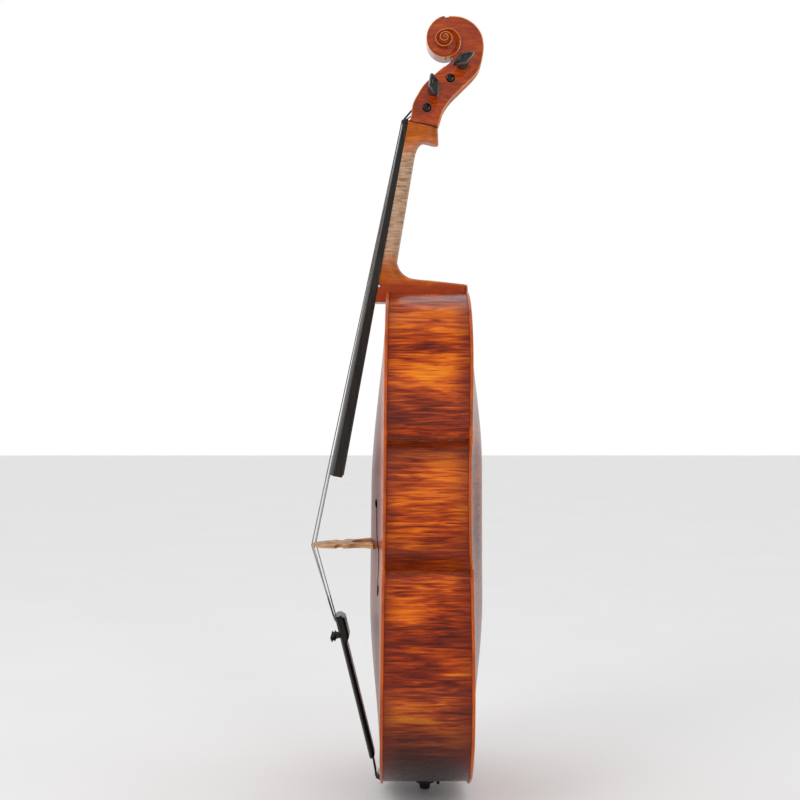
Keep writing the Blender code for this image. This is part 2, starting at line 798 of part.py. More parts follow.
def neck():
    """Bare wood from the graft under the pegbox down to the root, with its chin and its heel."""
    # Each station runs from the glue line to the back: (front along, back along, back depth, half, power)
    chin = [(GRAFT, *GRAFT_BACK, PEGBOX_HALF, 0.30),
            (0.2640, 0.2563, 0.0508, PEGBOX_HALF - 0.0008, 0.32),
            (0.2552, 0.2431, 0.0524, PEGBOX_HALF - 0.0014, 0.38),
            (0.2481, 0.2437, 0.0397, PEGBOX_HALF - 0.0020, 0.44),
            (0.2410, 0.2443, 0.0330, NUT_HALF + 0.0008, 0.50),
            (0.2359, 0.2417, 0.0268, NUT_HALF + 0.0008, 0.55),
            (0.2298, 0.2350, 0.0225, NUT_HALF + 0.0009, 0.58),
            (0.2227, 0.2265, 0.0205, NUT_HALF + 0.0010, 0.60)]
    stations = []
    for front, back, depth, half, power in chin:
        stations.append((neck_point(front), neck_point(back, -depth), half, power))
    top, low = 0.2160, 0.0560
    for share in (0.0, 0.25, 0.5, 0.75, 1.0):
        along = top + (low - top) * share
        thick = NECK_THICK_TOP + (NECK_THICK_LOW - NECK_THICK_TOP) * share
        half = NUT_HALF + 0.0010 + (HEEL_HALF - NUT_HALF - 0.0010) * share
        stations.append((neck_point(along), neck_point(along, -thick), half, 0.60))
    for front, y, rise in ((0.0420, -0.0425, 0.0420), (0.0280, -0.0370, 0.0310), (0.0130, -0.0255, 0.0225)):
        stations.append((neck_point(front), Vector((0.0, y, BODY_TOP + rise)), HEEL_HALF, 0.55))
    end = back_inside(BODY_TOP)
    for y, rise, lean in ((-0.0120, 0.0196, 0.0480), (0.0080, 0.0178, 0.0360), (0.0350, 0.0149, 0.0180),
                          (end, 0.0118, 0.0)):
        front = Vector((0.0, y - lean, BODY_TOP + 0.0008))
        stations.append((front, Vector((0.0, y, BODY_TOP + rise)), root_half(y) - 0.0004, 0.45))
    stock = loft("neck", [dee_section(*station) for station in stations], bare_maple())
    cut(stock, root_prism("neck_root", 0.0, 0.0060, None, CUTTERS), "UNION")


def fingerboard():
    """A tapering board, round on top and hollowed underneath where it stands over the belly."""
    sections = []
    count = 8
    for i in range(count + 1):
        share = i / count
        along = NECK_LENGTH - BOARD_LENGTH * share
        half = NUT_HALF + (BOARD_END_WIDTH / 2 - NUT_HALF) * share
        thick = BOARD_NUT_THICK + (BOARD_END_THICK - BOARD_NUT_THICK) * share
        hollow = BOARD_HOLLOW * smooth((share - 0.49) / 0.08)
        section = []
        for across in (-1.0, -0.66, -0.33, 0.0, 0.33, 0.66, 1.0):
            drop = BOARD_RADIUS - math.sqrt(BOARD_RADIUS ** 2 - (half * across) ** 2)
            section.append(neck_point(along, FIT + thick - drop, half * across))
        inner = (half - 0.006) / half
        under = ((1.0, 0.0), (inner, 0.0), (0.5, hollow), (-0.5, hollow), (-inner, 0.0), (-1.0, 0.0))
        for across, lift in under:
            section.append(neck_point(along, FIT + lift, half * across))
        sections.append(section)
    return loft("fingerboard", sections, ebony())


def nut():
    low = NECK_LENGTH + FIT
    high = low + NUT_LENGTH
    profile = [(low, FIT), (low, NUT_STRINGS - 0.0018), (low + 0.0015, NUT_STRINGS - RUN),
               (low + 0.0035, NUT_STRINGS - RUN), (high, NUT_STRINGS - 0.0060), (high, FIT)]
    sections = [[neck_point(along, out, x) for along, out in profile] for x in (-NUT_HALF, NUT_HALF)]
    return loft("nut", sections, ebony())


# Pegbox, scroll and pegs

def head_point(depth, height, x=0.0):
    return NECK_BASE + NECK_UP * NECK_LENGTH + Vector((x, depth, height))


def head_half(height):
    return PEGBOX_HALF - (PEGBOX_HALF - THROAT_HALF) * height / THROAT_HEIGHT


def head_slab(name, outline, spare, look, collection=None):
    """A side outline of the head, given thickness that narrows upward."""
    sections = []
    for side in (-1.0, 1.0):
        sections.append([head_point(y, z, side * (head_half(z) - spare)) for y, z in outline])
    return loft(name, sections, look, collection)


def scroll():
    """Pegbox, throat and volute in one piece, on the graft at the neck's upper end."""
    front = neck_point(GRAFT) - head_point(0.0, 0.0)
    back = neck_point(GRAFT_BACK[0], -GRAFT_BACK[1]) - head_point(0.0, 0.0)
    outline = [(front.y, front.z + BED), (0.0053, 0.0097), (0.0084, 0.0301), (0.0162, 0.0457),
               (0.0265, 0.0614), (0.0447, 0.0789), (0.0610, 0.0922), (0.0740, 0.0995), (0.0762, 0.1020)]
    for degrees in range(-60, -280, -20):
        turn = math.radians(degrees)
        reach = 0.0292 + 0.0050 * max(0.0, (-degrees - 200) / 60)
        outline.append((SCROLL_EYE[0] + reach * math.cos(turn), SCROLL_EYE[1] + reach * math.sin(turn)))
    outline += [(0.0680, 0.1690), (0.0860, 0.1668), (0.1020, 0.1580), (0.1128, 0.1450), (0.1175, 0.1307),
                (0.1176, 0.1117), (0.1096, 0.0839), (0.0838, 0.0560), (0.0675, 0.0400), (0.0556, 0.0230),
                (0.0504, 0.0080), (back.y, back.z + BED)]
    head = head_slab("scroll", outline, 0.0, flamed_maple())
    slot = [(-0.0060, 0.0267), (0.0020, 0.0192), (0.0160, 0.0127), (0.0350, 0.0117), (0.0425, 0.0207),
            (0.0530, 0.0407), (0.0690, 0.0577), (0.0820, 0.0702), (0.0970, 0.0857), (0.0985, 0.0985),
            (0.0930, 0.1040), (0.0790, 0.1040), (0.0600, 0.1030), (0.0420, 0.0867), (0.0170, 0.0687),
            (0.0020, 0.0517)]
    steps = [(0.0, 1.0), (0.0050, 0.99), (0.0056, 0.90), (0.0125, 0.85), (0.0134, 0.71), (0.0205, 0.67),
             (0.0214, 0.52), (0.0280, 0.47)]
    profile = [(radius, SCROLL_HALF * share) for radius, share in steps]
    profile += [(radius, -height) for radius, height in profile[::-1]]
    volute = turned("volute", profile, None, head_point(*SCROLL_EYE), (1, 0, 0), 24, CUTTERS)
    cut(head, volute, "UNION")
    cut(head, head_slab("pegbox_slot", slot, CHEEK, None, CUTTERS))
    for word, (depth, height, hand) in PEG_SPOTS.items():
        hole = cylinder("peg_hole_" + word, PEG_RADIUS + RUN, PEG_REACH, head_point(depth, height),
                        (hand, 0, 0), None, CUTTERS, 20, PEG_RADIUS - PEG_TAPER + RUN)
        cut(head, hole)
    return head


def peg(word):
    depth, height, hand = PEG_SPOTS[word]
    collar = head_half(height) + PEG_OUT
    end = collar + PEG_HEAD_AWAY

    def shank(z):
        return PEG_RADIUS - PEG_TAPER * (0.5 - z / PEG_REACH)

    tip = -collar - 0.0006
    profile = [(0.0, end), (0.0030, end), (0.0036, collar + 0.0090), (0.0052, collar + 0.0060),
               (0.0086, collar + 0.0045), (0.0090, collar + 0.0025), (0.0084, collar),
               (shank(collar), collar), (shank(tip), tip + 0.0014), (shank(tip) - 0.0012, tip), (0.0, tip)]
    obj = turned(f"peg_{word}", profile, ebony(), head_point(depth, height), (hand, 0, 0), 16)
    shape = bmesh.new()
    bmesh.ops.create_uvsphere(shape, u_segments=12, v_segments=8, radius=0.5)
    bmesh.ops.scale(shape, vec=(PEG_HEAD[1], PEG_HEAD[0], PEG_HEAD[2]), verts=shape.verts)
    turn = Matrix.Rotation(math.radians(PEG_TURNS[word]), 3, "X")
    bmesh.ops.rotate(shape, cent=(0, 0, 0), matrix=turn, verts=shape.verts)
    head = mesh_object("peg_head_" + word, shape, None, CUTTERS)
    head.location = head_point(depth, height, hand * (end - 0.0080))
    cut(obj, head, "UNION")
    return obj


# Bridge, tailpiece and strings

def bridge_face():
    return BODY_LOW + BRIDGE_HEIGHT


def crest_y(x):
    drop = CREST_RADIUS - math.sqrt(CREST_RADIUS ** 2 - x ** 2)
    return belly_y(0.0, bridge_face()) - BRIDGE_TOP + drop


def bridge(belly):
    tree = surface_tree(belly)
    ground = belly_y(0.0, bridge_face())

    def foot(x):
        heights = []
        for z in (0.0, BRIDGE_FOOT / 2, BRIDGE_FOOT):
            hit = tree.ray_cast(Vector((x, -0.3, bridge_face() + z)), Vector((0.0, 1.0, 0.0)))[0]
            heights.append(hit.y)
        return min(heights) - FIT

    wide = BRIDGE_HALF
    half = [(x, crest_y(x)) for x in (0.0, 0.0075, 0.0150, 0.0235)]
    flank = ((0.0275, 0.0855), (0.0350, 0.0715), (0.0395, 0.0610), (0.0400, 0.0545), (0.0330, 0.0520),
             (0.0270, 0.0490), (0.0262, 0.0450), (0.0300, 0.0420), (0.0370, 0.0430), (0.0405, 0.0400),
             (0.0390, 0.0330), (0.0335, 0.0250), (0.0330, 0.0150), (0.0380, 0.0050))
    arch = ((0.0265, 0.0060), (0.0235, 0.0150), (0.0150, 0.0250), (0.0070, 0.0290), (0.0, 0.0300))
    half += [(x, ground - up) for x, up in flank]
    half += [(wide, foot(wide) - 0.0035), (wide, foot(wide)), (0.0380, foot(0.0380)), (0.0290, foot(0.0290))]
    half += [(x, ground - up) for x, up in arch]
    outer = half + [(-x, y) for x, y in half[-2:0:-1]]
    heart = []
    for i in range(14):
        turn = math.tau * i / 14
        swell = 1.0 + 0.25 * abs(math.sin(turn))
        heart.append((HEART_RADIUS * math.sin(turn),
                      ground - HEART_UP - HEART_RADIUS * math.cos(turn) * swell))
    matrix = Matrix.Translation((0.0, 0.0, bridge_face() + BRIDGE_FOOT / 2))
    obj = flat_outline("bridge", [outer, heart], BRIDGE_FOOT, bare_maple(), matrix)
    for vertex in obj.data.vertices:
        if vertex.co.z > 0.0:
            up = min(1.0, max(0.0, (ground - vertex.co.y) / BRIDGE_TOP))
            vertex.co.z = -BRIDGE_FOOT / 2 + BRIDGE_FOOT + (BRIDGE_CREST - BRIDGE_FOOT) * up
    return obj


def tail_point(down, out=0.0, x=0.0):
    return TAIL_BASE - TAIL_UP * down + TAIL_OUT * out + RIGHT * x


def tail_half(down):
    return TAIL_HALF_TOP + (TAIL_HALF_LOW - TAIL_HALF_TOP) * (down / TAIL_LENGTH) ** 0.8


def tail_crown(down, x):
    return TAIL_THICK / 2 - 0.0030 * (x / tail_half(down)) ** 2


def tail_box(name, lane, downs, outs, width):
    centre = tail_point(sum(downs) / 2, sum(outs) / 2, lane)
    turn = Matrix((RIGHT, TAIL_OUT, TAIL_UP)).transposed().to_4x4()
    size = (width, outs[1] - outs[0], downs[1] - downs[0])
    return box(name, size, Matrix.Translation(centre) @ turn, None, CUTTERS)


def lanes(spread):
    return [spread * (i - 1.5) / 3 for i in range(4)]


def tailpiece():
    """A tapering board with a tuner housing under its upper end and a pocket for the cord."""
    sections = []
    downs = (0.0, 0.004, 0.005, HOUSING[0] - 0.010, HOUSING[0], 0.090, 0.150, 0.205,
             TAIL_LENGTH - 0.006, TAIL_LENGTH)
    for down in downs:
        half = tail_half(down) - (0.005 if down == TAIL_LENGTH else 0.0)
        ridge = 0.0012 if down < 0.0045 else 0.0
        lower = TAIL_THICK / 2 + (HOUSING[1] if down < HOUSING[0] - 0.001 else 0.0)
        if down == 0.0:
            lower -= 0.004
        section = []
        for across in (-1.0, -0.5, 0.0, 0.5, 1.0):
            crown = tail_crown(down, across * tail_half(down)) + ridge
            section.append(tail_point(down, crown, across * half))
        for across in (1.0, 0.8, -0.8, -1.0):
            out = -lower if abs(across) < 0.9 else -lower + 0.0020
            section.append(tail_point(down, out, across * half))
        sections.append(section)
    obj = loft("tailpiece", sections, composite())
    for lane, (word, _) in zip(lanes(TAIL_SPREAD), STRINGS):
        cut(obj, tail_box("string_slot_" + word, lane, (0.0065, 0.0210), (-0.030, 0.020), SLOT_WIDTH))
        channel = ((0.0200, 0.0420), (-0.030, -0.0025))
        cut(obj, tail_box("lever_channel_" + word, lane, *channel, SLOT_WIDTH))
        cut(obj, cylinder("screw_hole_" + word, SCREW_RADIUS + RUN, 0.030,
                          tail_point(SCREW_DOWN, 0.0, lane), TAIL_OUT, None, CUTTERS, 16))
    cut(obj, cylinder("axle_bore", AXLE_RADIUS + 0.0002, 0.120, tail_point(AXLE_DOWN, AXLE_OUT),
                      RIGHT, None, CUTTERS, 16))
    pocket, wide = CORD_POCKET
    ends = (TAIL_LENGTH - pocket - wide / 2, TAIL_LENGTH - pocket + wide / 2)
    cut(obj, tail_box("cord_pocket", 0.0, ends, (CORD_DEPTH - 0.0022, 0.010), 0.0200))
    hole_middle = TAIL_LENGTH - pocket / 2 + 0.002
    for side, hand in (("bass", -1), ("treble", 1)):
        cut(obj, cylinder("cord_hole_" + side, CORD_RADIUS + BED, pocket + 0.004,
                          tail_point(hole_middle, CORD_DEPTH, hand * 0.0070), TAIL_UP, None, CUTTERS, 12))
    return obj


def tuner_lever(word, lane):
    """A bent lever: its forked head holds the string's ball, its long arm rests on the screw."""
    outline = [(0.0142, 0.0010), (0.0172, 0.0010), (0.0176, -0.0020), (0.0205, -0.0056),
               (0.0360, -0.0064), (0.0375, -0.0076), (0.0360, -0.0088), (0.0190, -0.0084),
               (0.0140, -0.0076), (0.0126, -0.0050), (0.0142, -0.0020)]
    pivot = tail_point(AXLE_DOWN, AXLE_OUT, lane)
    sections = []
    for side in (-0.5, 0.5):
        sections.append([tail_point(down, out, lane + side * LEVER_WIDTH) - pivot for down, out in outline])
    obj = loft("tuner_lever_" + word, sections, black_metal())
    obj.location = pivot
    cut(obj, tail_box("lever_notch_" + word, lane, (0.0100, 0.0200), (-0.0012, 0.0040), 0.0026))
    cut(obj, cylinder("lever_bore_" + word, AXLE_RADIUS + RUN, 0.020, pivot, RIGHT, None, CUTTERS, 16))
    return obj


def tuner_screw(word, lane):
    profile = [(0.0, 0.0180), (0.0042, 0.0180), (0.0050, 0.0172), (0.0050, 0.0153), (0.0038, 0.0147),
               (0.0038, 0.0135), (0.0050, 0.0129), (0.0050, 0.0110), (0.0042, 0.0103),
               (SCREW_RADIUS, 0.0103), (SCREW_RADIUS, -0.0056), (0.0, -0.0059)]
    return turned("tuner_screw_" + word, profile, black_metal(), tail_point(SCREW_DOWN, 0.0, lane),
                  TAIL_OUT, 16)


def string(word, index, radius):
    """One string, from its ball in the tuner over the bridge and the nut to two turns on its peg."""
    tail_lane = lanes(TAIL_SPREAD)[index]
    bridge_lane = lanes(BRIDGE_SPREAD)[index]
    nut_lane = lanes(NUT_SPREAD)[index]
    depth, height, hand = PEG_SPOTS[word]
    ridge = tail_crown(0.0, tail_lane) + 0.0012 + radius + FIT
    points = [tail_point(0.0200, 0.0002, tail_lane), tail_point(0.0128, 0.0002, tail_lane),
              tail_point(0.0076, ridge - 0.0012, tail_lane), tail_point(0.0044, ridge, tail_lane),
              tail_point(0.0, ridge, tail_lane)]
    crest = crest_y(bridge_lane) - radius - BED
    points.append(Vector((bridge_lane, crest, bridge_face() + BRIDGE_CREST / 2)))
    for along, drop in ((0.0015, 0.0), (0.0038, 0.0), (NUT_LENGTH + 0.0010, 0.0030)):
        points.append(neck_point(NECK_LENGTH + along, NUT_STRINGS - drop + radius, nut_lane))
    if word in "gd":
        over = head_point(*PEG_SPOTS["a"][:2], nut_lane)
        for degrees in (142, 108):
            turn = math.radians(degrees)
            points.append(over + Vector((0.0, math.cos(turn), math.sin(turn))) * PASSING)
    reach = PEG_RADIUS + RUN + radius
    lane = hand * (head_half(height) - CHEEK - 0.0016 - radius)
    centre = head_point(depth, height)
    pitch = 2 * radius + FIT
    turns = 2
    for i in range(turns * 10 + 1):
        turn = math.radians(135 - 36 * i)
        x = lane - hand * pitch * (turns - i / 10)
        points.append(centre + Vector((x, reach * math.cos(turn), reach * math.sin(turn))))
    return tube("string_" + word, points, radius, steel())


def tail_cord():
    radius = CORD_RADIUS
    saddle_front = front_edge(BODY_LOW) - SADDLE[2] - radius - 0.0006
    groove = GROOVE_RADIUS + radius + 2 * RUN
    height = FOOT_HEIGHT + FIT + 0.0094
    half = [tail_point(TAIL_LENGTH - CORD_POCKET[0], CORD_DEPTH, 0.0060),
            tail_point(TAIL_LENGTH - CORD_POCKET[0] + 0.0012, CORD_DEPTH, 0.0070),
            tail_point(TAIL_LENGTH + 0.0015, CORD_DEPTH, 0.0070),
            Vector((0.0080, saddle_front - 0.0004, BODY_LOW + 0.0090)),
            Vector((0.0082, saddle_front, BODY_LOW + 0.0035)),
            Vector((0.0084, saddle_front + 0.0016, BODY_LOW - 0.0012)),
            Vector((0.0088, saddle_front + 0.0060, BODY_LOW - 0.0030))]
    for degrees in (-15, 15, 45, 75):
        turn = math.radians(degrees)
        half.append(Vector((groove * math.cos(turn), groove * math.sin(turn), height)))
    loop = half + [Vector((-point.x, point.y, point.z)) for point in half[::-1]]
    return tube("tail_cord", loop, radius, composite(), True)


# Endpin

def endpin_collar(low):
    top = low + COLLAR_HEIGHT
    bore = ROD_RADIUS + RUN
    lip = GROOVE_RADIUS + 0.0015
    profile = [(bore, top + PLUG_LENGTH), (PLUG_RADIUS - 0.0012, top + PLUG_LENGTH), (PLUG_RADIUS, top),
               (lip, top), (lip, top - 0.0009), (GROOVE_RADIUS, top - 0.0014),
               (GROOVE_RADIUS, top - 0.0052), (COLLAR_RADIUS, top - 0.0060),
               (COLLAR_RADIUS, low + 0.0006), (COLLAR_RADIUS - 0.0006, low), (bore, low)]
    return turned("endpin_collar", profile, ebony(), (0, 0, 0), (0, 0, 1), 24)


def thumb_screw(height):
    inner = ROD_RADIUS + RUN + 0.0002
    neck_end = COLLAR_RADIUS + 0.0010
    face = COLLAR_RADIUS + 0.0030
    end = COLLAR_RADIUS + 0.0075
    wide = THUMB_RADIUS
    profile = [(0.0, end), (wide - 0.0005, end), (wide, end - 0.0005), (wide, face + 0.0005),
               (wide - 0.0005, face), (0.0030, face), (0.0030, neck_end), (THUMB_SHANK, neck_end),
               (THUMB_SHANK, inner), (0.0, inner)]
    return turned("endpin_thumb_screw", profile, black_metal(), (0, 0, height), (0, 1, 0), 20)


def endpin_foot():
    bore = ROD_RADIUS + 0.0002
    profile = [(bore, FOOT_HEIGHT), (FOOT_RADIUS - 0.0015, FOOT_HEIGHT), (FOOT_RADIUS, FOOT_HEIGHT - 0.0020),
               (FOOT_RADIUS - 0.0010, 0.0010), (FOOT_RADIUS - 0.0020, 0.0), (0.0, 0.0),
               (0.0, FOOT_FLOOR), (bore, FOOT_FLOOR)]
    return turned("endpin_foot", profile, rubber(), (0, 0, 0), (0, 0, 1), 24)


def endpin():
    low = FOOT_HEIGHT + FIT
    collar = endpin_collar(low)
    thumb_height = low + 0.0035
    cut(collar, cylinder("thumb_hole", THUMB_SHANK + RUN, 0.030, (0, COLLAR_RADIUS, thumb_height),
                         (0, 1, 0), None, CUTTERS, 16))
    thumb_screw(thumb_height)
    rod_low = FOOT_FLOOR + FIT
    cylinder("endpin_rod", ROD_RADIUS, ROD_LENGTH - rod_low, (0, 0, (ROD_LENGTH + rod_low) / 2),
             (0, 0, 1), black_metal(), None, 24)
    endpin_foot()


clear_scene()
PARTS = new_collection("cello")
CUTTERS = new_collection("cutters")
CUTTERS.hide_render = True
ARCH_EDGE = arch_edge()

belly_plate = body()
neck()
fingerboard()
nut()
scroll()
saddle_shape("saddle", 0.0, ebony())
bridge(belly_plate)
tailpiece()
cylinder("tuner_axle", AXLE_RADIUS, AXLE_LENGTH, tail_point(AXLE_DOWN, AXLE_OUT), RIGHT, steel(),
         None, 16)
for place_in_row, (string_word, string_radius) in enumerate(STRINGS):
    tuner_lever(string_word, lanes(TAIL_SPREAD)[place_in_row])
    tuner_screw(string_word, lanes(TAIL_SPREAD)[place_in_row])
    string(string_word, place_in_row, string_radius)
    peg(string_word)
tail_cord()
endpin()
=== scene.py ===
"""Looks of a full-size cello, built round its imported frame.

+Z runs up the body, -Y is the string side and +X the treble side, as in the frame.
"""

import json
import math

import bmesh
import bpy
from mathutils import Matrix, Vector


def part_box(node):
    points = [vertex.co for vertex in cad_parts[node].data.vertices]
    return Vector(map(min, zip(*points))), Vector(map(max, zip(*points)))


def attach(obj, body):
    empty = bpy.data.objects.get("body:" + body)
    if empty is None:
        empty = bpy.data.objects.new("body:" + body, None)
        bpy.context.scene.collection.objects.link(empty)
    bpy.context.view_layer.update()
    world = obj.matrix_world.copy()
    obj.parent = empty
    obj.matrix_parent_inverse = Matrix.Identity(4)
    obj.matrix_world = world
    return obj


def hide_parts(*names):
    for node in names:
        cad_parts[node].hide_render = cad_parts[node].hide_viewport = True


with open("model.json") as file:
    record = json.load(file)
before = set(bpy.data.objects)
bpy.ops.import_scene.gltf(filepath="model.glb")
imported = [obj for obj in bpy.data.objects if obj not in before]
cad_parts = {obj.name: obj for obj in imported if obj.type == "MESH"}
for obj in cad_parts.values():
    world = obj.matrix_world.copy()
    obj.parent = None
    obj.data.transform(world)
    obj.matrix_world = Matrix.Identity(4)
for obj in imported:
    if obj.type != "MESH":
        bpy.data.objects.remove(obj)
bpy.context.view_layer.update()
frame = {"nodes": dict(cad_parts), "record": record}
NODES = frame["nodes"]
BODY_OF = {node: body for body, nodes in frame["record"]["behaviour"]["bodies"].items() for node in nodes}

# Body
BODY_LOW = 0.0199
BODY_LENGTH = 0.764
BODY_TOP = BODY_LOW + BODY_LENGTH
UPPER_WIDTH, WAIST_WIDTH, LOWER_WIDTH = 0.345, 0.242, 0.440
UPPER, WAIST, LOWER = BODY_LOW + 0.648, BODY_LOW + 0.436, BODY_LOW + 0.165
UPPER_CORNER = (0.1535, BODY_LOW + 0.5344)
LOWER_CORNER = (0.1815, BODY_LOW + 0.3443)
UPPER_OUT = (0.930, -0.364)
LOWER_OUT = (0.940, 0.342)
CORNER_REACH = 0.0045
OVERHANG = 0.0035
PLATE = 0.0046
RIB = 0.0015
FIT = 0.0003
RIB_TOP, RIB_LOW = BODY_TOP - OVERHANG, BODY_LOW + OVERHANG
FRONT_EDGE_TOP, FRONT_EDGE_BOTTOM = 0.0605, 0.0695
BACK_EDGE = 0.0672
BELLY_ARCH, BACK_ARCH = 0.0202, 0.0231
ARCH_MARGIN = 0.012
BELLY_RISE = (0.310, 0.290)
BACK_RISE = (0.280, 0.285)
BUTTON_RADIUS, BUTTON_RISE = 0.0150, 0.0115

# Neck, bridge and tailpiece lines
NECK_LENGTH = 0.2665
NECK_ANGLE = math.radians(10.45)
NECK_FRONT = 0.0752
TAIL_ANGLE = math.radians(13.8)
NECK_UP = Vector((0.0, math.sin(NECK_ANGLE), math.cos(NECK_ANGLE)))
NECK_OUT = Vector((0.0, -math.cos(NECK_ANGLE), math.sin(NECK_ANGLE)))
NECK_BASE = Vector((0.0, -NECK_FRONT, BODY_TOP))
HEAD = NECK_BASE + NECK_UP * NECK_LENGTH
TAIL_UP = Vector((0.0, -math.sin(TAIL_ANGLE), math.cos(TAIL_ANGLE)))
TAIL_OUT = Vector((0.0, -math.cos(TAIL_ANGLE), -math.sin(TAIL_ANGLE)))
TAIL_BASE = Vector((0.0, -0.1377, BODY_LOW + 0.2545))
TAIL_LENGTH = 0.2315
BRIDGE_Z = BODY_LOW + 0.363
BRIDGE_TOP, BRIDGE_FOOT, BRIDGE_CREST = 0.0930, 0.0085, 0.0028
CREST_RADIUS = 0.052
HEART_RADIUS, HEART_UP = 0.0085, 0.0600
STRING_RADII = (0.00080, 0.00065, 0.00050, 0.00040)
TAIL_SPREAD, BRIDGE_SPREAD, NUT_SPREAD = 0.042, 0.047, 0.022
SCREW_DOWN = 0.0320
WORDS = "cgda"
PEGS = {"c": (0.0298, 0.0248, -1, 85), "a": (0.0401, 0.0516, 1, 103),
        "g": (0.0668, 0.0716, -1, 99), "d": (0.0854, 0.0928, 1, 30)}
EYE = HEAD + Vector((0.0, 0.0581, 0.1332))


def neck_point(along, out=0.0, x=0.0):
    return NECK_BASE + NECK_UP * along + NECK_OUT * out + Vector((x, 0.0, 0.0))


def tail_point(down, out=0.0, x=0.0):
    return TAIL_BASE - TAIL_UP * down + TAIL_OUT * out + Vector((x, 0.0, 0.0))


def head_point(depth, height, x=0.0):
    return HEAD + Vector((x, depth, height))


# Making meshes

def finish_object(obj, look, angle=40.0):
    obj.data.materials.clear()
    obj.data.materials.append(look)
    for other in bpy.context.selected_objects:
        other.select_set(False)
    bpy.context.view_layer.objects.active = obj
    obj.select_set(True)
    bpy.ops.object.shade_smooth_by_angle(angle=math.radians(angle))
    obj.select_set(False)
    return obj


def mesh_object(name, shape, look, angle=40.0):
    bmesh.ops.recalc_face_normals(shape, faces=shape.faces)
    mesh = bpy.data.meshes.new(name)
    shape.to_mesh(mesh)
    shape.free()
    obj = bpy.data.objects.new(name, mesh)
    bpy.context.scene.collection.objects.link(obj)
    return finish_object(obj, look, angle)


def loft(name, sections, look, closed=False, capped=True, angle=40.0):
    """A skin through equal-length rings of points."""
    shape = bmesh.new()
    rings = [[shape.verts.new(point) for point in section] for section in sections]
    count = len(sections[0])
    pairs = list(zip(rings, rings[1:])) + ([(rings[-1], rings[0])] if closed else [])
    for low, high in pairs:
        for i in range(count):
            j = (i + 1) % count
            shape.faces.new((low[i], low[j], high[j], high[i]))
    if capped and not closed:
        shape.faces.new(rings[0][::-1])
        shape.faces.new(rings[-1])
    return mesh_object(name, shape, look, angle)


def applied(obj, kind, **settings):
    """Adds a modifier and applies it."""
    modifier = obj.modifiers.new(kind.lower(), kind)
    for key, value in settings.items():
        setattr(modifier, key, value)
    bpy.context.view_layer.objects.active = obj
    bpy.ops.object.modifier_apply(modifier=modifier.name)
    return obj


def bevelled(obj, width, segments=3, angle=30.0):
    return applied(obj, "BEVEL", width=width, segments=segments, limit_method="ANGLE",
                   angle_limit=math.radians(angle), use_clamp_overlap=True)


def cut(obj, cutter, operation="DIFFERENCE"):
    applied(obj, "BOOLEAN", object=cutter, operation=operation, solver="FAST")
    bpy.data.objects.remove(cutter)
    return obj


def stands_for(obj, node):
    """The piece moves with the node's body and is seen in its place."""
    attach(obj, BODY_OF[node])
    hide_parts(node)
    return obj


def extra(obj, node):
    """A surface detail that moves with a node and keeps its finish."""
    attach(obj, BODY_OF[node])
    return obj


def refined(node, look, width=0.0, segments=3, angle=30.0):
    """A copy of a node's mesh, cleaned and with its edges rounded."""
    shape = bmesh.new()
    shape.from_mesh(NODES[node].data)
    bmesh.ops.remove_doubles(shape, verts=shape.verts, dist=0.00001)
    bmesh.ops.dissolve_limit(shape, angle_limit=math.radians(1.0), verts=shape.verts, edges=shape.edges)
    obj = mesh_object(node + "_look", shape, look)
    if width:
        bevelled(obj, width, segments, angle)
    return stands_for(finish_object(obj, look), node)


def tube(name, points, radius, look, cyclic=False, sides=3):
    curve = bpy.data.curves.new(name, "CURVE")
    curve.dimensions = "3D"
    curve.bevel_depth = radius
    curve.bevel_resolution = sides
    curve.use_fill_caps = not cyclic
    spline = curve.splines.new("POLY")
    spline.points.add(len(points) - 1)
    for target, point in zip(spline.points, points):
        target.co = (*point, 1.0)
    spline.use_cyclic_u = cyclic
    obj = bpy.data.objects.new(name, curve)
    bpy.context.scene.collection.objects.link(obj)
    bpy.context.view_layer.objects.active = obj
    obj.select_set(True)
    bpy.ops.object.convert(target="MESH")
    obj.select_set(False)
    return finish_object(obj, look, 60.0)


def turned(name, profile, look, centre, axis, steps=48):
    """A profile of (radius, height) points turned about an axis."""
    turn = Vector(axis).to_track_quat("Z", "Y").to_matrix()
    sections = []
    for i in range(steps):
        angle = math.tau * i / steps
        sections.append([Vector(centre) + turn @ Vector((r * math.cos(angle), r * math.sin(angle), h))
                         for r, h in profile])
    shape = bmesh.new()
    rings = [[shape.verts.new(point) for point in section] for section in sections]
    for a, b in zip(rings, rings[1:] + rings[:1]):
        for j in range(len(profile) - 1):
            shape.faces.new((a[j], a[j + 1], b[j + 1], b[j]))
    bmesh.ops.remove_doubles(shape, verts=shape.verts, dist=0.00001)
    return mesh_object(name, shape, look, 35.0)


def smooth_line(points, steps=6, cyclic=False):
    """A Catmull-Rom curve through points of any number of values."""
    run = []
    count = len(points)
    for i in range(count if cyclic else count - 1):
        around = [points[(i + k) % count] if cyclic else points[min(max(i + k, 0), count - 1)]
                  for k in (-1, 0, 1, 2)]
        for step in range(steps):
            t = step / steps
            weights = ((-t + 2 * t * t - t ** 3) / 2, (2 - 5 * t * t + 3 * t ** 3) / 2,
                       (t + 4 * t * t - 3 * t ** 3) / 2, (t ** 3 - t * t) / 2)
            run.append(tuple(sum(w * p[k] for w, p in zip(weights, around)) for k in range(len(points[0]))))
    if not cyclic:
        run.append(tuple(points[-1]))
    return run


# Materials

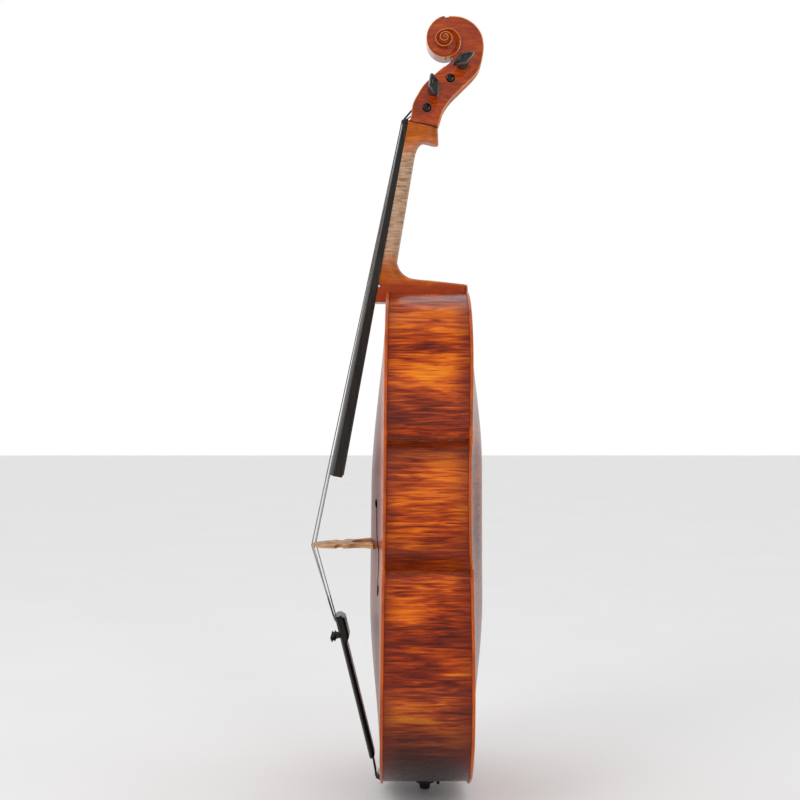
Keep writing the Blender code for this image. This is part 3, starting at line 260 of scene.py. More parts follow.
class Look:
    """A Principled material and short calls for building its nodes."""

    def __init__(self, name, roughness=0.4, coat=0.0, metallic=0.0):
        self.material = bpy.data.materials.new(name)
        self.material.use_nodes = True
        self.tree = self.material.node_tree
        self.shader = self.tree.nodes["Principled BSDF"]
        self.shader.inputs["Roughness"].default_value = roughness
        self.shader.inputs["Metallic"].default_value = metallic
        self.shader.inputs["Coat Weight"].default_value = coat
        self.shader.inputs["Coat Roughness"].default_value = 0.07
        self.shader.inputs["Specular IOR Level"].default_value = 0.20
        self.place = self.node("ShaderNodeTexCoord").outputs["Object"]

    def node(self, kind, **settings):
        made = self.tree.nodes.new(kind)
        for key, value in settings.items():
            setattr(made, key, value)
        return made

    def join(self, start, end):
        if isinstance(start, (int, float, tuple)):
            end.default_value = start
        else:
            self.tree.links.new(start, end)

    def scaled(self, scale, turn=(0.0, 0.0, 0.0)):
        mapping = self.node("ShaderNodeMapping")
        self.join(self.place, mapping.inputs["Vector"])
        mapping.inputs["Scale"].default_value = scale
        mapping.inputs["Rotation"].default_value = [math.radians(value) for value in turn]
        return mapping.outputs["Vector"]

    def noise(self, vector, scale=1.0, detail=3.0, rough=0.55, distortion=0.0):
        texture = self.node("ShaderNodeTexNoise")
        self.join(vector, texture.inputs["Vector"])
        for socket, value in (("Scale", scale), ("Detail", detail), ("Roughness", rough),
                              ("Distortion", distortion)):
            texture.inputs[socket].default_value = value
        return texture.outputs["Fac"]

    def ramp(self, value, stops):
        ramp = self.node("ShaderNodeValToRGB")
        elements = ramp.color_ramp.elements
        while len(elements) < len(stops):
            elements.new(0.5)
        for element, (position, colour) in zip(elements, stops):
            element.position = position
            element.color = (*colour, 1.0) if isinstance(colour, tuple) else (colour, colour, colour, 1.0)
        self.join(value, ramp.inputs["Fac"])
        return ramp.outputs["Color"]

    def maths(self, operation, a, b=0.0):
        made = self.node("ShaderNodeMath", operation=operation)
        self.join(a, made.inputs[0])
        self.join(b, made.inputs[1])
        return made.outputs[0]

    def mix(self, amount, a, b, blend="MIX"):
        made = self.node("ShaderNodeMix", data_type="RGBA", blend_type=blend)
        self.join(amount, made.inputs["Factor"])
        self.join((*a, 1.0) if isinstance(a, tuple) else a, made.inputs[6])
        self.join((*b, 1.0) if isinstance(b, tuple) else b, made.inputs[7])
        return made.outputs[2]

    def axis(self, letter):
        parts = self.node("ShaderNodeSeparateXYZ")
        self.join(self.place, parts.inputs[0])
        return parts.outputs[letter]

    def span(self, value, low, high):
        """0 at low and 1 at high."""
        made = self.node("ShaderNodeMapRange", interpolation_type="SMOOTHSTEP")
        self.join(value, made.inputs["Value"])
        made.inputs["From Min"].default_value = low
        made.inputs["From Max"].default_value = high
        return made.outputs["Result"]

    def colour(self, value):
        self.join(value, self.shader.inputs["Base Color"])

    def rough(self, value):
        self.join(value, self.shader.inputs["Roughness"])

    def bump(self, height, strength, distance=0.0005):
        made = self.node("ShaderNodeBump")
        made.inputs["Strength"].default_value = strength
        made.inputs["Distance"].default_value = distance
        self.join(height, made.inputs["Height"])
        self.join(made.outputs["Normal"], self.shader.inputs["Normal"])


def flamed(name, stretch, tilt, golden=1.0, coat=0.14):
    """Varnished maple: curly flames lying across the grain, golden where light, red brown where dark."""
    look = Look(name, 0.30, coat)
    wide = look.scaled(stretch, (tilt, 0.0, 0.0))
    flames = look.noise(wide, 1.0, 3.0, 0.52, 0.9)
    narrow = look.scaled((stretch[0], stretch[1] * 1.5, stretch[2] * 3.2), (tilt, 0.0, 0.0))
    fine = look.noise(narrow, 1.0, 2.0)
    soft = look.noise(look.scaled((9.0, 6.0, 16.0), (tilt, 0.0, 0.0)), 1.0, 2.0, 0.5, 0.4)
    light = look.maths("ADD", look.maths("MULTIPLY", flames, 0.40), look.maths("MULTIPLY", soft, 0.38))
    light = look.maths("ADD", light, look.maths("MULTIPLY", fine, 0.22))
    wood = look.ramp(light, [(0.36, (0.075, 0.005, 0.001)), (0.44, (0.22, 0.018, 0.001)),
                             (0.51, (0.50, 0.060, 0.002)), (0.58, (0.86 * golden, 0.17 * golden, 0.003)),
                             (0.68, (1.00 * golden, 0.33 * golden, 0.006))])
    grain = look.noise(look.scaled((900.0, 26.0, 900.0)), 1.0, 2.0)
    wood = look.mix(0.22, wood, look.ramp(grain, [(0.35, 0.25), (0.65, 1.0)]), "MULTIPLY")
    return look, wood


def rib_look(name):
    look, wood = flamed(name, (16.0, 15.0, 170.0), -8.0)
    height = look.axis("Z")
    across = look.axis("Y")
    # Painted shade: the rib darkens towards the bottom of the body, where the lower bout turns under, away from the
    # light.
    low = look.span(height, BODY_LOW + 0.030, BODY_LOW + 0.235)
    wood = look.mix(low, (0.020, 0.004, 0.002), wood)
    # Painted shade: a darker band just below the upper corner, where the middle rib turns away from the light.
    under = look.span(height, UPPER_CORNER[1] - 0.050, UPPER_CORNER[1] - 0.012)
    under = look.maths("MULTIPLY", under, look.span(height, UPPER_CORNER[1] + 0.006, UPPER_CORNER[1]))
    wood = look.mix(look.maths("MULTIPLY", under, 0.62), wood, (0.11, 0.016, 0.005))
    shade = look.span(height, LOWER_CORNER[1] + 0.055, LOWER_CORNER[1] + 0.004)
    shade = look.maths("MULTIPLY", shade, look.span(height, LOWER_CORNER[1] - 0.004, LOWER_CORNER[1] + 0.002))
    wood = look.mix(look.maths("MULTIPLY", shade, 0.62), wood, (0.13, 0.018, 0.005))
    edges = look.maths("ADD", look.span(across, 0.030, 0.066), look.span(across, -0.034, -0.066))
    wood = look.mix(look.maths("MULTIPLY", edges, 0.60), wood, (0.13, 0.010, 0.002))
    look.colour(wood)
    look.rough(look.ramp(look.noise(look.scaled((60.0, 60.0, 60.0))), [(0.3, 0.22), (0.7, 0.34)]))
    look.bump(look.noise(look.scaled((700.0, 60.0, 700.0))), 0.05)
    return look.material


def plate_look(name, deep, spruce=False):
    """A plate: a dark red field and a worn golden rim where the edge rounds over."""
    stretch = (620.0, 620.0, 6.0) if spruce else (16.0, 70.0, 115.0)
    look, wood = flamed(name, stretch, 0.0, 0.8, 0.2)
    wood = look.mix(deep, wood, (0.080, 0.004, 0.002) if spruce else (0.035, 0.003, 0.001))
    across = look.axis("Y")
    if spruce:
        rim = look.span(across, -0.0712, -0.0655)
    else:
        rim = look.span(across, 0.0700, 0.0655)
    rim = look.maths("MULTIPLY", rim, look.ramp(look.noise(look.scaled((30.0, 30.0, 30.0)), 1.0, 4.0),
                                                [(0.30, 0.45), (0.62, 0.95)]))
    wood = look.mix(rim, wood, (0.62, 0.105, 0.006))
    look.colour(wood)
    look.bump(look.noise(look.scaled((400.0, 400.0, 40.0))), 0.06)
    return look.material


def scroll_look(name, light=False):
    look, wood = flamed(name, (24.0, 36.0, 90.0), 22.0, 0.92, 0.7)
    if light:
        wood = look.mix(0.72, wood, (0.90, 0.33, 0.055))
    else:
        wood = look.mix(0.40, wood, (0.50, 0.060, 0.003))
        inner = look.span(look.axis("Y"), EYE.y + 0.075, EYE.y + 0.055)
        low = look.span(look.axis("Z"), EYE.z - 0.045, EYE.z - 0.015)
        red = look.maths("MULTIPLY", look.maths("MULTIPLY", inner, low), 0.45)
        wood = look.mix(red, wood, (0.27, 0.028, 0.006))
    look.colour(wood)
    look.rough(0.22)
    look.bump(look.noise(look.scaled((240.0, 240.0, 240.0))), 0.10)
    return look.material


def neck_look(name):
    """Bare maple with a fine cross flame, running into varnish at the chin and at the heel."""
    look, varnish = flamed(name, (30.0, 40.0, 150.0), 10.0, 0.95, 0.0)
    bands = look.noise(look.scaled((60.0, 50.0, 330.0), (8.0, 0.0, 0.0)), 1.0, 3.0, 0.6, 0.5)
    bare = look.ramp(bands, [(0.34, (0.30, 0.155, 0.085)), (0.50, (0.53, 0.33, 0.205)),
                             (0.66, (0.66, 0.46, 0.31))])
    pores = look.noise(look.scaled((900.0, 900.0, 70.0)), 1.0, 2.0)
    bare = look.mix(0.35, bare, look.ramp(pores, [(0.35, 0.55), (0.6, 1.0)]), "MULTIPLY")
    height = look.axis("Z")
    wander = look.maths("MULTIPLY", look.noise(look.scaled((25.0, 25.0, 25.0))), 0.020)
    height = look.maths("ADD", height, wander)
    top = look.span(height, HEAD.z - 0.048, HEAD.z - 0.006)
    heel = look.span(height, BODY_TOP + 0.082, BODY_TOP + 0.038)
    warm = look.mix(0.5, varnish, (0.62, 0.17, 0.018))
    wood = look.mix(look.maths("ADD", top, heel), bare, warm)
    red = look.span(height, BODY_TOP + 0.032, BODY_TOP + 0.014)
    wood = look.mix(look.maths("MULTIPLY", red, 0.75), wood, (0.36, 0.030, 0.006))
    look.colour(wood)
    look.rough(look.ramp(look.maths("ADD", top, heel), [(0.0, 0.46), (1.0, 0.24)]))
    look.bump(pores, 0.05)
    return look.material


def ebony_look(name, tone=0.020, roughness=0.30, coat=0.0, along="Z"):
    look = Look(name, roughness, coat)
    scale = (700.0, 700.0, 18.0) if along == "Z" else (18.0, 500.0, 500.0)
    fibre = look.noise(look.scaled(scale), 1.0, 3.0)
    look.colour(look.ramp(fibre, [(0.35, (tone * 0.75, tone * 0.66, tone * 0.60)),
                                  (0.66, (tone * 1.75, tone * 1.50, tone * 1.30))]))
    look.rough(look.ramp(fibre, [(0.3, roughness * 0.85), (0.7, roughness * 1.2)]))
    look.bump(fibre, 0.06)
    return look.material


def plain_look(name, low, high, roughness, metallic=0.0, scale=220.0, coat=0.0, bump=0.05):
    look = Look(name, roughness, coat, metallic)
    spots = look.noise(look.scaled((scale, scale, scale)), 1.0, 3.0)
    look.colour(look.ramp(spots, [(0.35, low), (0.65, high)]))
    look.rough(look.ramp(spots, [(0.3, roughness * 0.85), (0.7, roughness * 1.15)]))
    look.bump(spots, bump, 0.0002)
    return look.material


def wood_look(name, low, high, stretch, roughness=0.5, tilt=0.0):
    look = Look(name, roughness)
    grain = look.noise(look.scaled(stretch, (tilt, 0.0, 0.0)), 1.0, 4.0, 0.6, 0.3)
    fleck = look.noise(look.scaled((300.0, 90.0, 800.0)), 1.0, 2.0)
    wood = look.ramp(grain, [(0.34, low), (0.64, high)])
    look.colour(look.mix(0.35, wood, look.ramp(fleck, [(0.36, 0.45), (0.55, 1.0)]), "MULTIPLY"))
    look.bump(grain, 0.05)
    return look.material


def string_look(name, dark, bright):
    look = Look(name, 0.33, 0.0, 0.85)
    wraps = look.node("ShaderNodeTexWave", wave_type="BANDS", bands_direction="Z")
    look.join(look.place, wraps.inputs["Vector"])
    wraps.inputs["Scale"].default_value = 420.0
    wraps.inputs["Distortion"].default_value = 0.0
    look.colour(look.ramp(wraps.outputs["Fac"], [(0.1, dark), (0.7, bright)]))
    look.bump(wraps.outputs["Fac"], 0.25, 0.0001)
    return look.material


RIBS = rib_look("flamed_rib_varnish")
BELLY = plate_look("spruce_varnish", 0.78, True)
BACK = plate_look("back_varnish", 0.55)
SCROLL = scroll_look("scroll_varnish")
CHAMFER = scroll_look("scroll_chamfer_wear", True)
NECK = neck_look("neck_maple")
EBONY = ebony_look("fingerboard_ebony", 0.019, 0.34)
PEG_EBONY = ebony_look("polished_ebony", 0.003, 0.15, 0.5, "X")
COMPOSITE = plain_look("tailpiece_composite", (0.008, 0.008, 0.008), (0.016, 0.016, 0.015), 0.30)
METAL = plain_look("blackened_metal", (0.010, 0.010, 0.010), (0.030, 0.029, 0.028), 0.24, 0.7)
RUBBER = plain_look("foot_rubber", (0.012, 0.012, 0.012), (0.022, 0.022, 0.022), 0.75)
BRIDGE = wood_look("bridge_maple", (0.46, 0.215, 0.095), (0.74, 0.42, 0.20), (60.0, 60.0, 420.0))
INNER = wood_look("inner_spruce", (0.46, 0.29, 0.15), (0.66, 0.47, 0.28), (260.0, 260.0, 16.0), 0.7)
STRING = string_look("string_steel", (0.10, 0.085, 0.075), (0.42, 0.38, 0.34))
SILK = plain_look("string_silk", (0.004, 0.050, 0.036), (0.016, 0.14, 0.095), 0.6, 0.0, 900.0)
PURFLING = plain_look("purfling_black", (0.010, 0.006, 0.004), (0.020, 0.012, 0.008), 0.35, 0.0, 300.0, 0.5)


# The body's outline and arching

def bezier(p0, p1, p2, p3, steps):
    points = []
    for i in range(steps + 1):
        t = i / steps
        s = 1.0 - t
        weights = (s * s * s, 3 * s * s * t, 3 * s * t * t, t * t * t)
        points.append(tuple(sum(w * p[k] for w, p in zip(weights, (p0, p1, p2, p3))) for k in (0, 1)))
    return points


def shifted(point, direction, distance):
    return (point[0] + direction[0] * distance, point[1] + direction[1] * distance)


def offset(path, distance):
    moved = []
    for i, (x, z) in enumerate(path):
        before, after = path[max(i - 1, 0)], path[min(i + 1, len(path) - 1)]
        run = Vector((after[0] - before[0], after[1] - before[1])).normalized()
        moved.append((x - run.y * distance, z + run.x * distance))
    return moved


def corner_pair(tip, outward):
    across = (-outward[1], outward[0])
    return shifted(tip, across, RIB + FIT), shifted(tip, across, -RIB - FIT)


def rib_paths(fine=5):
    """The ribs' outer faces on the treble side, each running down the body."""
    upper_half, waist_half, lower_half = (w / 2 - OVERHANG for w in (UPPER_WIDTH, WAIST_WIDTH, LOWER_WIDTH))
    upper_end, middle_start = corner_pair(UPPER_CORNER, UPPER_OUT)
    middle_end, lower_start = corner_pair(LOWER_CORNER, LOWER_OUT)
    shoulder = UPPER + 0.57 * (RIB_TOP - UPPER)
    hip = LOWER - 0.60 * (LOWER - RIB_LOW)
    top = bezier((0.0, RIB_TOP), (0.5 * upper_half, RIB_TOP), (upper_half, shoulder),
                 (upper_half, UPPER), 8 * fine)
    top += bezier((upper_half, UPPER), (upper_half, UPPER - 0.050), shifted(upper_end, (-0.67, 0.75), 0.028),
                  upper_end, 6 * fine)[1:]
    middle = bezier(middle_start, shifted(middle_start, (-0.995, -0.0995), 0.026),
                    (waist_half, WAIST + 0.046),
                    (waist_half, WAIST), 5 * fine)
    middle += bezier((waist_half, WAIST), (waist_half, WAIST - 0.042),
                     shifted(middle_end, (-0.990, 0.150), 0.036),
                     middle_end, 5 * fine)[1:]
    low = bezier(lower_start, shifted(lower_start, (-0.66, -0.75), 0.028), (lower_half, LOWER + 0.095),
                 (lower_half, LOWER), 6 * fine)
    low += bezier((lower_half, LOWER), (lower_half, hip), (0.52 * lower_half, RIB_LOW),
                  (0.0, RIB_LOW), 8 * fine)[1:]
    return top, middle, low


def plate_outline(inset=0.0, button=False):
    """The treble half of a plate's edge, or of a line inside it, from the top down."""
    top, middle, low = rib_paths()
    beside = [i for i, (x, _) in enumerate(top) if x > BUTTON_RADIUS + 0.0015][0]
    top, middle, low = (offset(path, OVERHANG - inset) for path in (top, middle, low))
    outline = top[:-1]
    for before, after, outward in ((top[-1], middle[0], UPPER_OUT), (middle[-1], low[0], LOWER_OUT)):
        reach = CORNER_REACH - inset
        outline += [shifted(before, outward, reach - 0.0007), shifted(before, outward, reach),
                    shifted(after, outward, reach), shifted(after, outward, reach - 0.0007)]
        outline += middle[1:-1] if outward is UPPER_OUT else low[1:]
    if button:
        reach = BUTTON_RADIUS - inset
        centre = BODY_TOP + BUTTON_RISE - BUTTON_RADIUS
        arc = [(reach * math.sin(math.radians(5 * i)), centre + reach * math.cos(math.radians(5 * i)))
               for i in range(19)]
        arc.append((reach, BODY_TOP - inset))
        outline = arc + outline[beside:]
    return outline


def arch_edge():
    widths = (UPPER_WIDTH, WAIST_WIDTH, LOWER_WIDTH)
    upper_half, waist_half, lower_half = (width / 2 - ARCH_MARGIN for width in widths)
    top, bottom = BODY_TOP - ARCH_MARGIN, BODY_LOW + ARCH_MARGIN
    edge = bezier((0.0, top), (0.5 * upper_half, top), (upper_half, UPPER + 0.6 * (top - UPPER)),
                  (upper_half, UPPER), 48)
    edge += bezier((upper_half, UPPER), (upper_half, UPPER - 0.4 * (UPPER - WAIST)),
                   (waist_half, WAIST + 0.4 * (UPPER - WAIST)), (waist_half, WAIST), 36)[1:]
    edge += bezier((waist_half, WAIST), (waist_half, WAIST - 0.3 * (WAIST - LOWER)),
                   (lower_half, LOWER + 0.47 * (WAIST - LOWER)), (lower_half, LOWER), 36)[1:]
    edge += bezier((lower_half, LOWER), (lower_half, LOWER - 0.6 * (LOWER - bottom)),
                   (0.5 * lower_half, bottom),
                   (0.0, bottom), 48)[1:]
    return edge


ARCH_EDGE = arch_edge()


def arch_half_width(z):
    for (x0, z0), (x1, z1) in zip(ARCH_EDGE, ARCH_EDGE[1:]):
        if z1 <= z <= z0 and z0 > z1:
            return x0 + (x1 - x0) * (z0 - z) / (z0 - z1)
    return 0.0


def smooth(share):
    return math.sin(math.pi / 2 * min(max(share, 0.0), 1.0)) ** 2


def arch_rise(x, z, height, rises):
    half = arch_half_width(z)
    if half <= abs(x):
        return 0.0
    long_arch = min(smooth((BODY_TOP - z) / rises[0]), smooth((z - BODY_LOW) / rises[1]))
    return height * long_arch * smooth(1.0 - abs(x) / half)


def front_edge(z):
    return -(FRONT_EDGE_TOP + (FRONT_EDGE_BOTTOM - FRONT_EDGE_TOP) * (BODY_TOP - z) / BODY_LENGTH)


def belly_y(x, z):
    return front_edge(z) - arch_rise(x, z, BELLY_ARCH, BELLY_RISE)


def back_y(x, z):
    return BACK_EDGE + arch_rise(x, z, BACK_ARCH, BACK_RISE)


def front_inside(z):
    return front_edge(z) + PLATE + FIT


def back_inside():
    return BACK_EDGE - PLATE - FIT


# Plates, purfling and ribs

def towards_middle(x, z, share):
    middle = min(max(z, BODY_LOW + 0.200), UPPER_CORNER[1] + 0.010)
    return x * (1.0 - share), z + (middle - z) * share


def plate(name, surface, facing, button, look):
    """An arched plate with a rounded edge, a shallow channel inside it and a hollow underside."""
    profile = [(0.0022, PLATE), (0.0008, PLATE - 0.0004), (0.0, PLATE - 0.0016), (0.0, 0.0018),
               (0.0007, 0.0006), (0.0020, 0.0), (0.0036, 0.0003), (0.0056, 0.0009), (0.0085, 0.0006)]
    loops = []
    edge = plate_outline(0.0, button)
    near = [min(math.dist(point, UPPER_CORNER), math.dist(point, LOWER_CORNER)) for point in edge]
    for inset, drop in profile:
        # In a corner the lines inside the edge stay close to it, so that they don't cross.
        close = plate_outline(min(inset, 0.0022 + inset * 0.05), button)
        line = [tight if gap < 0.018 else wide for tight, wide, gap in
                zip(close, plate_outline(inset, button), near)]
        loops.append([(x, surface(x, z) - facing * drop, z) for x, z in line])
    base = line
    for share in (0.05, 0.10, 0.16, 0.22, 0.30, 0.38, 0.46, 0.55, 0.64, 0.73, 0.82, 0.91, 1.0):
        fade = max(0.0, 1.0 - share / 0.08)
        ring = [towards_middle(x, z, share) for x, z in base]
        loops.append([(x, surface(x, z) - facing * 0.0006 * fade, z) for x, z in ring])
    inner = [[(x, y - facing * PLATE, z) for x, y, z in loop] for loop in loops[len(profile) - 1:]]
    loops = inner[::-1] + loops
    shape = bmesh.new()
    rings = []
    for loop in loops:
        whole = loop + [(-x, y, z) for x, y, z in loop[-2:0:-1]]
        rings.append([shape.verts.new(point) for point in whole])
    count = len(rings[0])
    for a, b in zip(rings, rings[1:]):
        for i in range(count):
            j = (i + 1) % count
            shape.faces.new((a[i], a[j], b[j], b[i]))
    bmesh.ops.remove_doubles(shape, verts=shape.verts, dist=0.00002)
    return mesh_object(name, shape, look, 50.0)


def f_hole(hand):
    """The cutter of one f-hole, with its two eyes, its wings and its nicks."""
    upper = (hand * 0.050, BODY_LOW + 0.4340)
    lower = (hand * 0.101, BODY_LOW + 0.3070)
    half = 0.0028
    start = (upper[0] + hand * (0.0065 - half), upper[1])
    end = (lower[0] - hand * (0.0085 - half), lower[1])
    halfway = ((start[0] + end[0]) / 2, (start[1] + end[1]) / 2)
    line = bezier(start, start, (start[0], start[1] - 0.050), halfway, 24)
    line += bezier(halfway, (end[0], end[1] + 0.050), end, end, 24)[1:]
    shapes = [offset(line, half) + offset(line, -half)[::-1]]
    for (x, z), radius in ((upper, 0.0065), (lower, 0.0085)):
        shapes.append([(x + radius * math.cos(math.tau * i / 40), z + radius * math.sin(math.tau * i / 40))
                       for i in range(40)])
    x, z = halfway
    shapes.append([(x - 0.0046, z + 0.0016), (x + 0.0046, z + 0.0030), (x + 0.0046, z - 0.0006),
                   (x - 0.0046, z - 0.0006)])
    cutters = []
    for outline in shapes:
        ends = [[(px, y, pz) for px, pz in outline] for y in (-0.110, -0.045)]
        cutters.append(loft("f_cutter", ends, BELLY))
    return cutters


def purfling(name, surface, facing, button, node):
    """A dark inlaid line that follows the plate's edge."""
    lines = [plate_outline(inset, button) for inset in (0.0046, 0.0058)]
    shape = bmesh.new()
    rings = []
    for line in lines:
        whole = line + [(-x, z) for x, z in line[-2:0:-1]]
        rings.append([shape.verts.new((x, surface(x, z) - facing * 0.00072, z)) for x, z in whole])
    for ring in list(rings):
        rings.append([shape.verts.new((v.co.x, v.co.y - facing * 0.0006, v.co.z)) for v in ring])
    order = (rings[0], rings[1], rings[3], rings[2])
    count = len(rings[0])
    for a, b in zip(order, order[1:] + order[:1]):
        for i in range(count):
            j = (i + 1) % count
            shape.faces.new((a[i], a[j], b[j], b[i]))
    return extra(mesh_object(name, shape, PURFLING), node)


def rib(name, path, hand):
    """A bent strip of flamed maple."""
    outer = [(hand * x, z) for x, z in path]
    inner = [(hand * x, z) for x, z in offset(path, -RIB)]
    ring = outer + inner[::-1]
    sections = []
    for share in (0.0, 0.25, 0.5, 0.75, 1.0):
        depths = [front_inside(z) + (back_inside() - front_inside(z)) * share for x, z in ring]
        sections.append([(x, depth, z) for (x, z), depth in zip(ring, depths)])
    return stands_for(loft(name + "_look", sections, RIBS, angle=40.0), name)


def body():
    belly = plate("belly_look", belly_y, -1, False, BELLY)
    for hand in (1, -1):
        for cutter in f_hole(hand):
            cut(belly, cutter)
    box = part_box("neck")
    ends = [[(-0.0215, -0.090, z), (0.0215, -0.090, z), (0.0175, 0.060, z), (-0.0175, 0.060, z)]
            for z in (box[0][2] - 0.0005, BODY_TOP + 0.010)]
    cut(belly, loft("mortise_cutter", ends, BELLY))
    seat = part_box("saddle")
    low, high = Vector(seat[0]), Vector(seat[1])
    notch = loft("saddle_cutter", [[(x, low.y - 0.01, z) for x, z in ((low.x - 0.0003, low.z - 0.01),
                                   (high.x + 0.0003, low.z - 0.01), (high.x + 0.0003, high.z + 0.0003),
                                   (low.x - 0.0003, high.z + 0.0003))],
                                   [(x, high.y + 0.01, z) for x, z in ((low.x - 0.0003, low.z - 0.01),
                                    (high.x + 0.0003, low.z - 0.01), (high.x + 0.0003, high.z + 0.0003),
                                    (low.x - 0.0003, high.z + 0.0003))]], BELLY)
    cut(belly, notch)
    stands_for(finish_object(belly, BELLY, 50.0), "top_plate")
    stands_for(plate("back_look", back_y, 1, True, BACK), "back_plate")
    purfling("purfling_back", back_y, 1, False, "back_plate")
    top, middle, low_path = rib_paths()
    low_path = low_path[:-1] + [(FIT / 2, low_path[-1][1])]
    top = [(FIT / 2, top[0][1])] + top[1:]
    for side, hand in (("treble", 1), ("bass", -1)):
        rib("upper_rib_" + side, top, hand)
        rib("middle_rib_" + side, middle, hand)
        rib("lower_rib_" + side, low_path, hand)


body()


# Neck and fingerboard

def dee(front, back, half, power, points=33):
    """Half an oval from one end of a straight front, round behind it, to the other end."""
    section = []
    for i in range(points):
        turn = math.pi * i / (points - 1)
        side = Vector((half * math.cos(turn), 0, 0))
        section.append(front + (back - front) * math.sin(turn) ** power + side)
    return section


def root_half(y):
    return 0.0210 - 0.0060 * (y + NECK_FRONT) / (BACK_EDGE + NECK_FRONT)


def neck():
    stations = []
    for front, back, depth, half, power in (
            (0.2699, 0.2690, 0.0477, 0.0184, 0.30), (0.2640, 0.2563, 0.0507, 0.0177, 0.32),
            (0.2552, 0.2431, 0.0523, 0.0171, 0.38), (0.2481, 0.2437, 0.0397, 0.0165, 0.44),
            (0.2410, 0.2443, 0.0330, 0.0162, 0.50), (0.2359, 0.2417, 0.0268, 0.0162, 0.55),
            (0.2298, 0.2350, 0.0225, 0.0163, 0.58), (0.2227, 0.2265, 0.0205, 0.0164, 0.60)):
        stations.append((*neck_point(front), *neck_point(back, -depth), half, power))
    for share in (0.0, 0.25, 0.5, 0.75, 1.0):
        along = 0.2160 - 0.1600 * share
        stations.append((*neck_point(along), *neck_point(along, -0.0199 - 0.0027 * share),
                         0.0165 + 0.0030 * share, 0.60))
    for front, y, rise in ((0.0420, -0.0425, 0.0420), (0.0280, -0.0370, 0.0310), (0.0130, -0.0255, 0.0225)):
        stations.append((*neck_point(front), 0.0, y, BODY_TOP + rise, 0.0195, 0.55))
    end = back_inside()
    for y, rise, lean in ((-0.0120, 0.0196, 0.0480), (0.0080, 0.0178, 0.0360), (0.0350, 0.0149, 0.0180),
                          (end, 0.0118, 0.0)):
        stations.append((0.0, y - lean, BODY_TOP + 0.0008, 0.0, y, BODY_TOP + rise,
                         root_half(y) - 0.0004, 0.45))
    sections = [dee(Vector(s[0:3]), Vector(s[3:6]), s[6], s[7]) for s in smooth_line(stations, 5)]
    stock = loft("neck_look", sections, NECK, angle=50.0)
    rings = []
    for z in (BODY_TOP - 0.0180, BODY_TOP - 0.006, BODY_TOP + 0.006):
        front = -NECK_FRONT + (z - BODY_TOP) * math.tan(NECK_ANGLE) + 0.0004
        rings.append([(-root_half(front), front, z), (root_half(front), front, z), (root_half(end), end, z),
                      (-root_half(end), end, z)])
    cut(stock, loft("root_look", rings, NECK), "UNION")
    stands_for(finish_object(stock, NECK, 45.0), "neck")


def fingerboard():
    length, half_nut, half_end, curve = 0.5635, 0.0155, 0.031, 0.062
    sections = []
    for i in range(41):
        share = i / 40
        along = NECK_LENGTH - length * share
        half = half_nut + (half_end - half_nut) * share
        thick = 0.0088 + (0.0220 - 0.0088) * share
        hollow = 0.0045 * smooth((share - 0.49) / 0.06)
        section = []
        for k in range(21):
            across = -1.0 + k / 10
            drop = curve - math.sqrt(curve ** 2 - (half * across) ** 2)
            section.append(neck_point(along, FIT + thick - drop, half * across))
        inner = (half - 0.006) / half
        for across in (1.0, inner, inner * 0.8, inner * 0.4, 0.0, -inner * 0.4, -inner * 0.8, -inner, -1.0):
            arch = math.sqrt(max(0.0, 1.0 - (across / inner) ** 2)) if abs(across) < inner else 0.0
            section.append(neck_point(along, FIT + hollow * arch, half * across))
        sections.append(section)
    board = loft("fingerboard_look", sections, EBONY, angle=50.0)
    stands_for(bevelled(board, 0.0005, 2, 50.0), "fingerboard")


# Pegbox and scroll

def head_half(height):
    return 0.0185 - 0.0035 * height / 0.102


